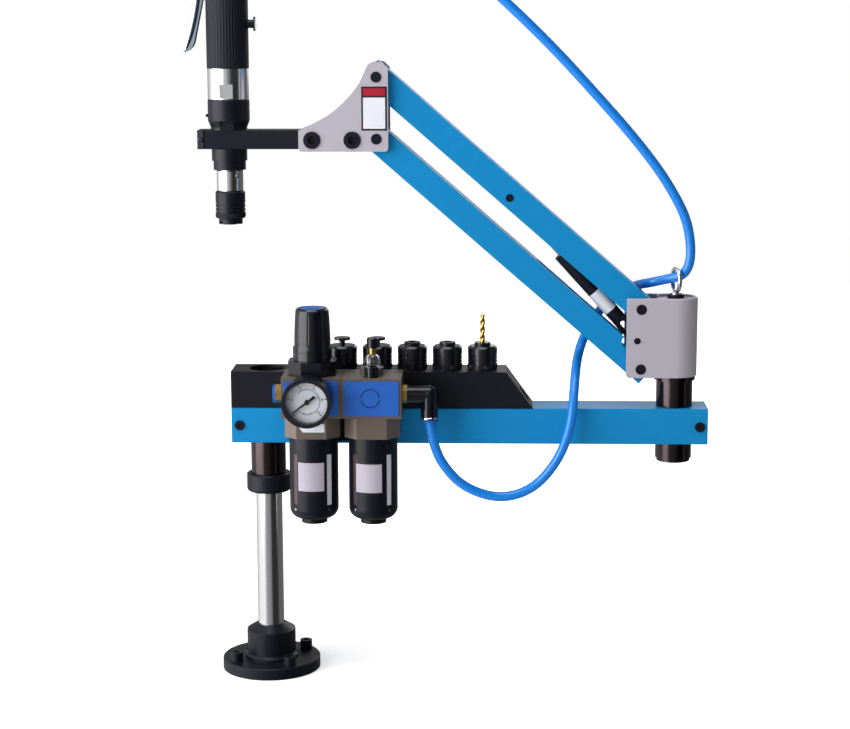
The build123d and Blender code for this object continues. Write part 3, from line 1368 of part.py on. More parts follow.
def quick_change_sleeve():
    with BuildPart() as sleeve:
        post(CHUCK_SLEEVE_R, CHUCK_SLEEVE_LOW, CHUCK_SLEEVE_TOP, x=TOOL_X)
        chamfer(sleeve.edges().filter_by(GeomType.CIRCLE), 0.5)
        post(DRUM_R + RUN, CHUCK_SLEEVE_LOW, CHUCK_SLEEVE_TOP, x=TOOL_X, mode=CUT)
        outward = (sin(radians(BALL_HOLE_TURN)), -cos(radians(BALL_HOLE_TURN)), 0)
        with Locations(Plane(origin=(TOOL_X, 0, BALL_HOLE_Z), z_dir=outward)):
            Cylinder(BALL_HOLE_R, CHUCK_SLEEVE_R + 2, align=STAND, mode=CUT)
    return sleeve


def chuck_collet():
    """Collet in the chuck: shank up in the drum, grooved body, notched nose and tap bore."""
    top = DRUM_LOW - AIR
    with BuildPart() as collet:
        post(COLLET_R, CHUCK_LOW, top, x=TOOL_X)
        chamfer(collet.edges().filter_by(GeomType.CIRCLE), 1)
        collet_rings(CHUCK_LOW, TOOL_X)
        post(SHANK_R, top, top + SHANK_LENGTH, x=TOOL_X)
        post(CHUCK_NOSE_R, CHUCK_LOW - CHUCK_NOSE_H, CHUCK_LOW, x=TOOL_X)
        mouth = CHUCK_LOW - CHUCK_NOSE_H
        post(TAP_BORE_R, mouth, mouth + TAP_BORE_DEPTH, x=TOOL_X, mode=CUT)
        with Locations((TOOL_X, 0, CHUCK_LOW - CHUCK_NOSE_H)):
            with PolarLocations(CHUCK_NOSE_R, CHUCK_NOTCHES, 45):
                Box(8, CHUCK_NOTCH_W, CHUCK_NOTCH_H, align=STAND, mode=CUT)
    return collet


# ------------------------------------------------------------------ hose
MEETING = (POST_X - 83.5, 32.0, HEAD_TOP - 29.0)
HOSE_LOWER = [
    (ELBOW_X, UNIT_Y, ELBOW_LOW - RELEASE_T),
    (ELBOW_X + 2.0, UNIT_Y, ELBOW_LOW - 12.5),
    (ELBOW_X + 4.5, UNIT_Y, ELBOW_LOW - 27.0),
    (186.5, -53.0, 237.0),
    (209.0, -51.0, 211.5),
    (247.0, -48.0, 198.5),
    (282.5, -45.0, 209.0),
    (309.5, -44.0, 242.5),
    (321.5, -42.0, 281.0),
    (324.0, -22.0, 314.5),
    (328.0, 13.0, 338.5),
    (336.5, 29.0, 361.5),
    MEETING,
]
HOSE_UPPER = [
    MEETING,
    (356.5, 35.0, 392.5),
    (370.5, 31.0, 405.0),
    (392.0, 26.0, 414.5),
    (403.5, 8.5, 419.0),
    (421.5, 6.0, 423.5),
    (436.5, -1.0, 427.5),
    (443.5, -7.0, 440.5),
    (444.0, -6.0, 462.0),
    (439.0, -7.0, 487.0),
    (427.0, -8.0, 511.5),
    (408.0, -8.0, 541.0),
    (380.0, -8.0, 576.0),
    (344.0, -8.0, 616.0),
    (299.0, -8.0, 664.5),
    (247.0, -8.0, 714.0),
    (TOOL_X + 221.5, -7.0, INLET_TOP - 24.0),
    (TOOL_X + 157.5, -4.0, INLET_TOP + 23.0),
    (TOOL_X + 107.5, -2.0, INLET_TOP + 53.0),
    (TOOL_X + 69.5, -1.0, INLET_TOP + 65.0),
    (TOOL_X + 37.0, 0.0, INLET_TOP + 64.0),
    (TOOL_X + 13.5, 0.0, INLET_TOP + 50.5),
    (TOOL_X, 0.0, INLET_TOP + 27.0),
    (TOOL_X, 0.0, INLET_TOP),
]


def hose(name, points):
    """Tube along straight runs joined by arcs as large as the runs allow."""
    places = [Vector(*point) for point in points]
    radii = []
    for before, here, after in zip(places, places[1:], places[2:]):
        turn = radians((here - before).get_angle(after - here))
        shorter = min((here - before).length, (after - here).length)
        radii.append(0.45 * shorter / tan(turn / 2))
    with BuildPart() as tube:
        with BuildLine() as route:
            FilletPolyline(places, radius=radii)
        with BuildSketch(Plane(origin=places[0], z_dir=places[1] - places[0])):
            Circle(HOSE_R)
        sweep()
    length = sum(edge.length for edge in route.edges())
    print(name, "radii", [round(radius) for radius in radii])
    print(name, "length", round(length), "volume ratio", tube.part.volume / (length * pi * HOSE_R**2))
    return tube


# ------------------------------------------------------------------ writing the parts
def save(name, builder):
    builder.part.label = name
    export_step(builder.part, f"parts/{name}.step")


PIECES = [
    base_flange,
    flange_bolts,
    column,
    height_ring,
    beam_tube,
    beam_end_caps,
    beam_sleeves,
    tool_tray,
    frl_bracket,
    regulator_body,
    lubricator_body,
    front_plates,
    bowl_guards,
    bowls,
    drain_valve,
    regulator_bonnet,
    regulator_knob,
    gauge_case,
    gauge_dial,
    gauge_needle,
    sight_glasses,
    drip_adjuster,
    oil_plug,
    brass_nipples,
    elbow_fitting,
    release_rings,
    twist_drill,
    head_casting,
    head_pins,
    pivot_shaft,
    eye_bolt,
    upper_arm,
    lower_arm,
    gas_spring_pin,
    gas_cylinder,
    gas_rod,
    front_bracket,
    bracket_fasteners,
    tool_bar,
    nose_piece,
    lock_nut,
    motor_housing,
    motor_grip,
    back_head,
    motor_inlet,
    throttle_lever,
    valve_stem,
    reverse_button,
    motor_rotor,
    spindle,
    quick_change_sleeve,
    chuck_collet,
]

os.makedirs("parts", exist_ok=True)
for piece in PIECES:
    save(piece.__name__, piece())
for number in range(1, COLLET_COUNT + 1):
    save(f"tap_collet_{number}", tap_collet(number))
save("hose_lower", hose("hose_lower", HOSE_LOWER))
save("hose_upper", hose("hose_upper", HOSE_UPPER))
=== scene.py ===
"""Arm tapping machine on a bench column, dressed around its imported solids.

A swinging beam carries an air preparation unit, a tray of tap collets and a head.
A parallel arm with a gas spring holds an upright air motor over the work.
"""

import bmesh
import bpy
import numpy as np
from bpy.props import FloatProperty, FloatVectorProperty, IntProperty, PointerProperty
from bpy.types import Operator, Panel, PropertyGroup
from mathutils import Matrix, Vector


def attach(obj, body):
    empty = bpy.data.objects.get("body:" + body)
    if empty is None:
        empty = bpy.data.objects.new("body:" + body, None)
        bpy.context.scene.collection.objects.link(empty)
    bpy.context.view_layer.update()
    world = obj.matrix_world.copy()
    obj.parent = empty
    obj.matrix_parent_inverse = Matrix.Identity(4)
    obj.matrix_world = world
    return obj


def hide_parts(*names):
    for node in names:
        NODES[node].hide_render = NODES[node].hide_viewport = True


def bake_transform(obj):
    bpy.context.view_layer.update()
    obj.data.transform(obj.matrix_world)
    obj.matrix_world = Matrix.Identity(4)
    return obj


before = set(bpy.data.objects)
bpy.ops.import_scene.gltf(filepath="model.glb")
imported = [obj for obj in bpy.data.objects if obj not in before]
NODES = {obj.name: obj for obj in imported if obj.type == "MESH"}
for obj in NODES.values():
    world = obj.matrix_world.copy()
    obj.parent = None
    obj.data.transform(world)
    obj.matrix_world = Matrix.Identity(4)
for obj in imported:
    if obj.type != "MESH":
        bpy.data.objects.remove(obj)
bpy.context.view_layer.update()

bl_info = {
    "name": "Arm tapping machine",
    "version": (1, 0, 0),
    "blender": (4, 5, 0),
    "location": "View3D > Sidebar > Tapping machine",
    "description": "Builds the hoses, dial, plates, ribs and finishes of an arm tapping machine",
    "category": "Object",
}

MM = 0.001
TURN = 2 * np.pi
UP = (0.0, 0.0, 1.0)
SHARP_ANGLE = np.radians(35)
FRONTWARD, LEFTWARD = (0.0, -1.0, 0.0), (-1.0, 0.0, 0.0)
COLLETS = range(1, 7)


# ------------------------------------------------------------------ settings
def linear(red, green, blue):
    """Linear colour of an eight-bit display colour, by the usual display curve."""
    share = np.array([red, green, blue]) / 255
    curve = np.where(share <= 0.04045, share / 12.92, ((share + 0.055) / 1.055) ** 2.4)
    return tuple(float(value) for value in curve)


def colour_setting(name, description, red, green, blue):
    """Colour that a user can change, given as an eight-bit display colour."""
    return FloatVectorProperty(
        name=name,
        description=description,
        subtype="COLOR",
        size=3,
        min=0,
        max=1,
        default=linear(red, green, blue),
    )


def power_setting(name, description, watts):
    """Power of a lamp that a user can change."""
    return FloatProperty(name=name, description=description, unit="POWER", default=watts, min=0)


class PaintSettings(PropertyGroup):
    """Colours of the painted, moulded and metal surfaces."""

    arm_blue: colour_setting("Arm blue", "Gloss paint on the beam and arms", 20, 134, 194)
    casting_grey: colour_setting("Casting grey", "Paint on the head and bracket", 176, 172, 183)
    steel_black: colour_setting("Steel black", "Blackened steel parts", 18, 20, 32)
    unit_bronze: colour_setting("Unit bronze", "Castings of the air unit", 112, 101, 92)
    plate_blue: colour_setting("Plate blue", "Front plates and release rings", 36, 96, 186)
    hose_blue: colour_setting("Hose blue", "Air hose", 10, 128, 226)
    brass_gold: colour_setting("Brass", "Fittings and valve", 200, 165, 95)
    drill_gold: colour_setting("Drill coating", "Twist drill", 214, 170, 82)
    label_white: colour_setting("Label", "Bracket's plate and the dial", 222, 226, 234)
    film_grey: colour_setting("Film", "Blank films on the guards", 182, 177, 190)
    sign_red: colour_setting("Sign band", "Band of the bracket's plate", 166, 30, 54)


class HoseSettings(PropertyGroup):
    """Size of the air hose."""

    diameter: FloatProperty(
        name="Diameter",
        description="Outside diameter of the air hose",
        unit="LENGTH",
        default=10.0 * MM,
        min=4.0 * MM,
        max=14.0 * MM,
    )
    sides: IntProperty(
        name="Sides",
        description="Number of flats round the hose",
        default=28,
        min=8,
        max=64,
    )


class StageSettings(PropertyGroup):
    """Studio light and camera."""

    key_power: power_setting("Key lamp", "Power of the tall left lamp", 105.0)
    fill_power: power_setting("Fill lamp", "Power of the tall right lamp", 1.5)
    top_power: power_setting("Top lamp", "Power of the lamp overhead", 26.0)
    front_power: power_setting("Front lamp", "Power of the dim lamp in front", 3.0)
    back_power: power_setting("Back lamp", "Power of the lamp behind", 14.0)
    world_strength: FloatProperty(
        name="World light", description="Strength of the even light", default=0.13, min=0
    )
    mirrored_strength: FloatProperty(
        name="Mirrored light", description="Strength of the room that mirrors show", default=1.0, min=0
    )
    focal_length: FloatProperty(
        name="Focal length",
        description="Lens of the camera in millimetres",
        subtype="DISTANCE_CAMERA",
        default=86.82,
        min=10,
    )


SETTINGS = {
    "tapping_paint": PaintSettings,
    "tapping_hose": HoseSettings,
    "tapping_stage": StageSettings,
}


# ------------------------------------------------------------------ shader groups
SURFACE_OUT = {"Colour": "Color", "Roughness": "Float", "Height": "Float"}
MIX_TYPES = {"Float": "FLOAT", "Color": "RGBA"}
GREY, DARK_GREY = (0.5, 0.5, 0.5, 1), (0.3, 0.3, 0.3, 1)
NOISE_MIDDLE = 0.5
GRAIN_SPREAD = 0.12
PATCH_SPREAD = 0.16
MARK_SPREAD = 0.25
BROAD_SCALE = 30.0


def new_group(name, inputs):
    """Shader group that puts out a surface. Returns its tree, inner input and inner output."""
    tree = bpy.data.node_groups.new(name, "ShaderNodeTree")
    for label, kind, value in inputs:
        socket = tree.interface.new_socket(label, in_out="INPUT", socket_type="NodeSocket" + kind)
        if value is not None:
            socket.default_value = value
    for label, kind in SURFACE_OUT.items():
        tree.interface.new_socket(label, in_out="OUTPUT", socket_type="NodeSocket" + kind)
    return tree, tree.nodes.new("NodeGroupInput"), tree.nodes.new("NodeGroupOutput")


def put_out(tree, out, *values):
    """Link the colour, the roughness and the height to the group's output."""
    for label, value in zip(SURFACE_OUT, values):
        tree.links.new(value, out.inputs[label])


def feed(tree, socket, value):
    """Link the value if it is a socket, or else write it in."""
    if isinstance(value, bpy.types.NodeSocket):
        tree.links.new(value, socket)
    else:
        socket.default_value = value


def maths(tree, operation, first, second):
    """Maths node. Each operand is a socket or a number."""
    node = tree.nodes.new("ShaderNodeMath")
    node.operation = operation
    feed(tree, node.inputs[0], first)
    feed(tree, node.inputs[1], second)
    return node.outputs[0]


def about_zero(tree, mask, spread):
    """The mask less its middle, times the spread."""
    return maths(tree, "MULTIPLY", maths(tree, "SUBTRACT", mask, NOISE_MIDDLE), spread)


def blend(tree, kind, share, first, second):
    """Mix node of the kind Float or Color. Each operand is a socket or a value."""
    node = tree.nodes.new("ShaderNodeMix")
    node.data_type = MIX_TYPES[kind]
    sockets = {socket.identifier: socket for socket in (*node.inputs, *node.outputs)}
    feed(tree, sockets["Factor_Float"], share)
    feed(tree, sockets["A_" + kind], first)
    feed(tree, sockets["B_" + kind], second)
    return sockets["Result_" + kind]


def noise(tree, where, scale, detail=3.0):
    """Noise from 0 to 1 at a place. The scale is a socket or a number."""
    node = tree.nodes.new("ShaderNodeTexNoise")
    node.inputs["Detail"].default_value = detail
    tree.links.new(where, node.inputs["Vector"])
    feed(tree, node.inputs["Scale"], scale)
    return node.outputs["Fac"]


def coated_group():
    """Paint or plastic: broad patches shade the colour, a fine grain gives roughness and height."""
    tree, inside, out = new_group(
        "coated_surface",
        (
            ("Where", "Vector", None),
            ("Colour", "Color", GREY),
            ("Worn colour", "Color", GREY),
            ("Wear", "Float", 0.2),
            ("Patch scale", "Float", 20.0),
            ("Grain scale", "Float", 900.0),
            ("Roughness", "Float", 0.4),
        ),
    )
    given = inside.outputs
    patches = noise(tree, given["Where"], given["Patch scale"])
    grain = noise(tree, given["Where"], given["Grain scale"], detail=2.0)
    share = maths(tree, "MULTIPLY", patches, given["Wear"])
    colour = blend(tree, "Color", share, given["Colour"], given["Worn colour"])
    fine = about_zero(tree, grain, GRAIN_SPREAD)
    uneven = about_zero(tree, patches, PATCH_SPREAD)
    rough = maths(tree, "ADD", given["Roughness"], maths(tree, "ADD", fine, uneven))
    put_out(tree, out, colour, rough, grain)


def machined_group():
    """Metal: noise stretched along one axis makes tool marks in colour, roughness and height."""
    tree, inside, out = new_group(
        "machined_surface",
        (
            ("Where", "Vector", None),
            ("Stretch", "Vector", (1, 1, 1)),
            ("Colour", "Color", GREY),
            ("Dark colour", "Color", DARK_GREY),
            ("Marks", "Float", 0.3),
            ("Mark scale", "Float", 400.0),
            ("Roughness", "Float", 0.3),
        ),
    )
    given = inside.outputs
    stretch = tree.nodes.new("ShaderNodeVectorMath")
    stretch.operation = "MULTIPLY"
    tree.links.new(given["Where"], stretch.inputs[0])
    tree.links.new(given["Stretch"], stretch.inputs[1])
    marks = noise(tree, stretch.outputs[0], given["Mark scale"], detail=4.0)
    broad = noise(tree, given["Where"], BROAD_SCALE)
    share = maths(tree, "MULTIPLY", maths(tree, "ADD", marks, broad), given["Marks"])
    colour = blend(tree, "Color", share, given["Colour"], given["Dark colour"])
    rough = maths(tree, "ADD", given["Roughness"], about_zero(tree, marks, MARK_SPREAD))
    put_out(tree, out, colour, rough, marks)


# ------------------------------------------------------------------ materials
COAT_GRAIN = 0.05 * MM
TOOL_MARK = 0.03 * MM
WORN_SHADE = 0.6
MARK_SHADE = 0.5
# specular levels of surfaces that mirror little
DULL, FAINT = 0.22, 0.1


def new_finish(name, group, bump, bump_distance, shader, **values):
    """Material whose colour, roughness and normal come from a group, and whose rest is on the shader."""
    if name in bpy.data.materials:
        raise ValueError(f"a material named {name} is already there")
    material = bpy.data.materials.new(name)
    material.use_nodes = True
    tree = material.node_tree
    principled = tree.nodes["Principled BSDF"]
    surface = tree.nodes.new("ShaderNodeGroup")
    surface.node_tree = bpy.data.node_groups[group]
    place = tree.nodes.new("ShaderNodeTexCoord")
    tree.links.new(place.outputs["Object"], surface.inputs["Where"])
    for label, value in values.items():
        socket = surface.inputs[label.replace("_", " ").capitalize()]
        socket.default_value = (*value, 1) if "colour" in label else value
    tree.links.new(surface.outputs["Colour"], principled.inputs["Base Color"])
    tree.links.new(surface.outputs["Roughness"], principled.inputs["Roughness"])
    raised = tree.nodes.new("ShaderNodeBump")
    raised.inputs["Strength"].default_value = bump
    raised.inputs["Distance"].default_value = bump_distance
    tree.links.new(surface.outputs["Height"], raised.inputs["Height"])
    tree.links.new(raised.outputs["Normal"], principled.inputs["Normal"])
    for label, value in shader.items():
        principled.inputs[label.replace("_", " ")].default_value = value


def shade(colour, factor):
    """The colour with each channel times the factor, up to full."""
    return tuple(min(1.0, channel * factor) for channel in colour)


def coated(name, colour, roughness, wear=0.25, patch=20.0, grain=900.0, bump=0.15, **shader):
    """Paint, plastic, rubber or glass with a fine grain."""
    new_finish(
        name,
        "coated_surface",
        bump,
        COAT_GRAIN,
        shader,
        colour=tuple(colour),
        worn_colour=shade(colour, WORN_SHADE),
        wear=wear,
        patch_scale=patch,
        grain_scale=grain,
        roughness=roughness,
    )


def machined(name, colour, roughness, stretch=(1, 1, 1), marks=0.2, scale=400.0, bump=0.1):
    """Bare or plated metal with tool marks."""
    new_finish(
        name,
        "machined_surface",
        bump,
        TOOL_MARK,
        {"Metallic": 1.0},
        colour=tuple(colour),
        dark_colour=shade(colour, MARK_SHADE),
        marks=marks,
        mark_scale=scale,
        stretch=stretch,
        roughness=roughness,
    )


def make_finishes(paint):
    """Every material of the machine, by the name of its finish."""
    black = paint.steel_black
    dull = {"Specular_IOR_Level": DULL}
    faint = {"Specular_IOR_Level": FAINT}
    coated("arm_paint", paint.arm_blue, 0.42, wear=0.06, patch=9, grain=500, bump=0.03, **faint)
    coated("casting_paint", paint.casting_grey, 0.5, wear=0.08, patch=14, grain=420, bump=0.1, **dull)
    coated("blacked_steel", black, 0.4, wear=0.4, patch=40, bump=0.05, **dull)
    coated("tray_sheet", shade(black, 0.75), 0.5, wear=0.4, patch=30, grain=700, bump=0.08, **dull)
    coated("moulded_black", shade(black, 0.6), 0.2, wear=0.3, bump=0.02, Specular_IOR_Level=0.4)
    coated("oiled_steel", shade(black, 0.8), 0.24, wear=0.3, patch=60, bump=0.03, Specular_IOR_Level=0.5)
    coated("grip_rubber", shade(black, 1.25), 0.55, wear=0.3, grain=1400, bump=0.1, **dull)
    coated("guard_paint", shade(black, 0.9), 0.34, wear=0.2, patch=30, grain=300, bump=0.02, **dull)
    coated("unit_casting", paint.unit_bronze, 0.4, wear=0.2, grain=600, bump=0.12, Metallic=0.35)
    coated("plate_plastic", paint.plate_blue, 0.4, wear=0.08, grain=800, bump=0.02, **dull)
    coated("hose_plastic", paint.hose_blue, 0.3, wear=0.05, patch=6, bump=0.02, Coat_Weight=0.15)
    coated("label_film", paint.label_white, 0.5, wear=0.06, grain=500, bump=0.03, **dull)
    coated("film_print", paint.film_grey, 0.5, wear=0.3, patch=160, grain=500, bump=0.03, **dull)
    coated("scale_band", (0.33, 0.4, 0.5), 0.5, wear=0.05, bump=0.02)
    coated("sign_red", paint.sign_red, 0.45, wear=0.1, bump=0.03, **dull)
    coated("dial_print", (0.012, 0.012, 0.014), 0.5, wear=0.1, bump=0.03, **dull)
    coated("edge_steel", shade(black, 2.6), 0.4, wear=0.3, bump=0.05)
    # dark pane of painted shade for the left-front slot of each guard, standing in for the shade seen in
    # that slot
    coated("smoked_plastic", (0.07, 0.05, 0.055), 0.2, wear=0.4, patch=90, bump=0.05)
    machined("column_chrome", (0.86, 0.86, 0.88), 0.12, (1, 1, 0.02), marks=0.04, bump=0.01)
    machined("dark_chrome", (0.055, 0.042, 0.045), 0.2, (1, 1, 0.02), marks=0.1, bump=0.01)
    machined("bright_chrome", (0.8, 0.82, 0.85), 0.12, marks=0.05, scale=200, bump=0.02)
    machined("lever_chrome", (0.6, 0.72, 0.84), 0.16, marks=0.35, scale=260, bump=0.3)
    machined("turned_steel", (0.8, 0.8, 0.82), 0.2, (1, 1, 0.02), marks=0.06, scale=900, bump=0.02)
    machined("fitting_brass", paint.brass_gold, 0.3, marks=0.12, scale=500)
    machined("drill_coating", paint.drill_gold, 0.28, marks=0.1, scale=600)
    coated("bowl_plastic", (0.7, 0.72, 0.76), 0.3, wear=0.5, patch=220, bump=0.15)
    coated("clear_glass", (0.1, 0.1, 0.11), 0.05, wear=0.02, bump=0.0, Alpha=0.04)
    coated("dome_glass", (0.95, 0.97, 0.98), 0.04, wear=0.02, bump=0.0, Transmission_Weight=1.0, IOR=1.4)


NODE_FINISH = {
    "arm_paint": ("beam_tube", "upper_arm", "lower_arm"),
    "casting_paint": ("head_casting", "front_bracket"),
    "blacked_steel": (
        "base_flange", "flange_bolts", "height_ring", "beam_end_caps", "head_pins", "gas_cylinder",
        "gas_spring_pin", "bracket_fasteners", "tool_bar", "nose_piece", "lock_nut",
        "back_head", "chuck_collet",
    ),
    "oiled_steel": ("gauge_case", *(f"tap_collet_{number}" for number in COLLETS)),
    "tray_sheet": ("tool_tray", "frl_bracket"),
    "moulded_black": (
        "drain_valve", "regulator_bonnet", "regulator_knob", "gauge_needle", "drip_adjuster",
        "oil_plug", "elbow_fitting", "reverse_button",
    ),
    "grip_rubber": ("motor_grip",),
    "guard_paint": ("bowl_guards",),
    "unit_casting": ("regulator_body", "lubricator_body"),
    "plate_plastic": ("front_plates", "release_rings"),
    "label_film": ("gauge_dial",),
    "bowl_plastic": ("bowls",),
    "clear_glass": ("sight_glasses",),
    "column_chrome": ("column",),
    "dark_chrome": ("beam_sleeves", "pivot_shaft"),
    "bright_chrome": ("eye_bolt",),
    "lever_chrome": ("throttle_lever",),
    "turned_steel": ("gas_rod", "motor_housing", "motor_rotor", "spindle", "quick_change_sleeve"),
    "fitting_brass": ("brass_nipples", "motor_inlet", "valve_stem"),
    "drill_coating": ("twist_drill",),
}


# ------------------------------------------------------------------ mesh helpers
CIRCLE_SIDES, SCREW_SIDES = 72, 20
NEARLY_ALONG = 0.9
ROUTE_ORDER, ROUTE_STEPS = 3, 12


def mesh_piece(name, points, faces, finish, smooth=True):
    """Object of that name from an array of points and a list of faces."""
    mesh = bpy.data.meshes.new(name)
    mesh.from_pydata(np.asarray(points).reshape(-1, 3).tolist(), [], faces)
    shell = bmesh.new()
    shell.from_mesh(mesh)
    bmesh.ops.recalc_face_normals(shell, faces=shell.faces)
    shell.to_mesh(mesh)
    shell.free()
    mesh.polygons.foreach_set("use_smooth", [smooth] * len(mesh.polygons))
    mesh.materials.append(bpy.data.materials[finish])
    if smooth:
        mesh.set_sharp_from_angle(angle=SHARP_ANGLE)
    mesh.update()
    piece = bpy.data.objects.new(name, mesh)
    bpy.context.scene.collection.objects.link(piece)
    return piece


def grid_faces(rows, columns, wrap_rows=False):
    """Quads between neighbours of a grid whose columns run round, and whose rows do too if they wrap."""
    down = rows if wrap_rows else rows - 1
    row, column = np.meshgrid(np.arange(down), np.arange(columns), indexing="ij")
    below, after = (row + 1) % rows, (column + 1) % columns
    corners = (row * columns + column, row * columns + after, below * columns + after)
    quads = np.stack([*corners, below * columns + column], axis=-1)
    return quads.reshape(-1, 4).tolist()


def end_faces(rows, columns):
    """The first and the last row of a grid, each as one face."""
    first = list(range(columns))
    return [first, [(rows - 1) * columns + index for index in first]]


def prism_faces(count, corners):
    """Side and end faces of many prisms whose two ends are stored one after another."""
    shift = 2 * corners * np.arange(count)[:, None, None]
    around = np.array(grid_faces(2, corners)) + shift
    ends = np.array(end_faces(2, corners)) + shift
    return [*around.reshape(-1, 4).tolist(), *ends.reshape(-1, corners).tolist()]


def full_circle(sides):
    """Angles round a circle, the last one side short of the first."""
    return np.linspace(0, TURN, sides, endpoint=False)


def circle_points(angle, first, second):
    """Unit circle cos a u + sin a v, for each angle a."""
    return np.cos(angle)[:, None] * first + np.sin(angle)[:, None] * second


def frame_of(direction):
    """Two unit vectors across a direction, and the direction itself as a unit vector."""
    ahead = np.array(direction, float)
    ahead /= np.linalg.norm(ahead)
    guide = (0.0, 1.0, 0.0) if abs(ahead[1]) < NEARLY_ALONG else (1.0, 0.0, 0.0)
    first = np.cross(guide, ahead)
    first /= np.linalg.norm(first)
    return first, np.cross(ahead, first), ahead


def turned_piece(name, profile, base, finish, direction=UP, sides=CIRCLE_SIDES, swell=0.0):
    """Solid of revolution: base + h w + (r + swell)(cos a u + sin a v) for each (r, h), ends capped."""
    first, second, ahead = frame_of(direction)
    profile = np.array(profile, float)
    rows = len(profile)
    radius = np.broadcast_to(profile[:, :1] + swell, (rows, sides))
    out = radius[..., None] * circle_points(full_circle(sides), first, second)
    points = np.array(base) + out + profile[:, 1, None, None] * ahead
    return mesh_piece(name, points * MM, grid_faces(rows, sides) + end_faces(rows, sides), finish)


def ring_piece(name, loop, base, finish, direction=UP, sides=CIRCLE_SIDES, arc=None):
    """Closed loop of (r, h) carried round an axis: base + h w + r(cos a u + sin a v), or part of it."""
    first, second, ahead = frame_of(direction)
    loop = np.array(loop, float)
    angle = np.linspace(*np.radians(arc), sides) if arc else full_circle(sides)
    ring = circle_points(angle, first, second)
    points = loop[None, :, :1] * ring[:, None] + loop[None, :, 1:] * ahead
    faces = grid_faces(sides, len(loop), wrap_rows=arc is None)
    if arc:
        faces += end_faces(sides, len(loop))
    return mesh_piece(name, (np.array(base) + points) * MM, faces, finish)


def rectangle(left, right, low, high):
    """Four corners of a rectangle, from its lower left."""
    return [(left, low), (right, low), (right, high), (left, high)]


def bars_piece(name, outlines, near, far, finish):
    """Flat prisms: each outline of (x, z) is carried from y = near to y = far."""
    outlines = np.asarray(outlines, float)
    count, corners = outlines.shape[:2]
    layers = [np.insert(outlines, 1, depth, axis=2) for depth in (near, far)]
    points = np.stack(layers, axis=1)
    return mesh_piece(name, points * MM, prism_faces(count, corners), finish, smooth=False)


def plate_piece(name, outline, near, far, finish):
    """Flat plate: one outline of (x, z) is carried from y = near to y = far."""
    return bars_piece(name, [outline], near, far, finish)


def dress(body, material_slot, *built):
    """The pieces ride the body. The slot is not used."""
    for piece in built:
        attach(piece, body)


def as_mesh(curve):
    """Mesh of a curve or a text, with its points as rows of three."""
    holder = bpy.data.objects.new(curve.name, curve)
    mesh = bpy.data.meshes.new_from_object(holder)
    points = np.zeros(len(mesh.vertices) * 3)
    mesh.vertices.foreach_get("co", points)
    bpy.data.objects.remove(holder)
    return mesh, points.reshape(-1, 3)


def route_line(name, route):
    """Points read from the smooth spline that has the route as its control points."""
    curve = bpy.data.curves.new(name, "CURVE")
    curve.dimensions = "3D"
    spline = curve.splines.new("NURBS")
    spline.points.add(len(route) - 1)
    flat = np.column_stack([np.array(route) * MM, np.ones(len(route))])
    spline.points.foreach_set("co", flat.ravel())
    spline.order_u = ROUTE_ORDER
    spline.use_endpoint_u = True
    spline.resolution_u = ROUTE_STEPS
    mesh, points = as_mesh(curve)
    bpy.data.meshes.remove(mesh)
    return points


def tube_piece(name, line, radius, sides, finish):
    """Circle carried along a line: centre plus radius times (cos side + sin up), with flat ends."""
    along = np.gradient(line, axis=0)
    along /= np.linalg.norm(along, axis=1, keepdims=True)
    side = np.cross(along, (0.0, 1.0, 0.0))
    side /= np.linalg.norm(side, axis=1, keepdims=True)
    up = np.cross(side, along)
    points = line[:, None] + radius * circle_points(full_circle(sides), side[:, None], up[:, None])
    ends = end_faces(len(line), sides)
    piece = mesh_piece(name, points, grid_faces(len(line), sides) + ends, finish)
    round_faces = len(piece.data.polygons) - len(ends)
    piece.data.polygons.foreach_set("use_smooth", [True] * round_faces + [False] * len(ends))
    return piece


# ------------------------------------------------------------------ hose
ELBOW_EXIT = (173.6, -53.0, 282.4)
MEETING = (346.5, 32.0, 377.0)
INLET = (-35.5, 0.0, 792.0)
LOWER_ROUTE = (
    ELBOW_EXIT,
    (175.6, -53.0, 272.5),
    (178.1, -53.0, 258.0),
    (186.5, -53.0, 237.0),
    (209.0, -51.0, 211.5),
    (247.0, -48.0, 198.5),
    (282.5, -45.0, 209.0),
    (309.5, -44.0, 242.5),
    (321.5, -42.0, 281.0),
    (324.0, -22.0, 314.5),
    (328.0, 13.0, 338.5),
    (336.5, 29.0, 361.5),
    MEETING,
)
UPPER_ROUTE = (
    MEETING,
    (356.5, 35.0, 392.5),
    (370.5, 31.0, 405.0),
    (392.0, 26.0, 414.5),
    (403.5, 8.5, 419.0),
    (421.5, 6.0, 423.5),
    (436.5, -1.0, 427.5),
    (443.5, -7.0, 440.5),
    (444.0, -6.0, 462.0),
    (439.0, -7.0, 487.0),
    (427.0, -8.0, 511.5),
    (408.0, -8.0, 541.0),
    (380.0, -8.0, 576.0),
    (344.0, -8.0, 616.0),
    (299.0, -8.0, 664.5),
    (247.0, -8.0, 714.0),
    (186.0, -7.0, 768.0),
    (122.0, -4.0, 815.0),
    (72.0, -2.0, 845.0),
    (34.0, -1.0, 857.0),
    (1.5, 0.0, 856.0),
    (-22.0, 0.0, 842.5),
    (-35.5, 0.0, 819.0),
    INLET,
)
# the upper route is split where it first lies left of this x, above this height
SPLIT_X, SPLIT_LOW = 272.0, 600.0
# name, the two bodies at its ends, where its bend starts and ends, the node it replaces
HOSE_RUNS = (
    ("hose_to_head", ("beam", "head"), (190, -53, 230), (330, 10, 338), "hose_lower"),
    ("hose_over_arm", ("head", "upper_arm"), (440, -4, 470), (300, -8, 660), "hose_upper"),
    ("hose_to_motor", ("upper_arm", "tool_head"), (240, -8, 700), (0, 0, 856), "hose_upper"),
)


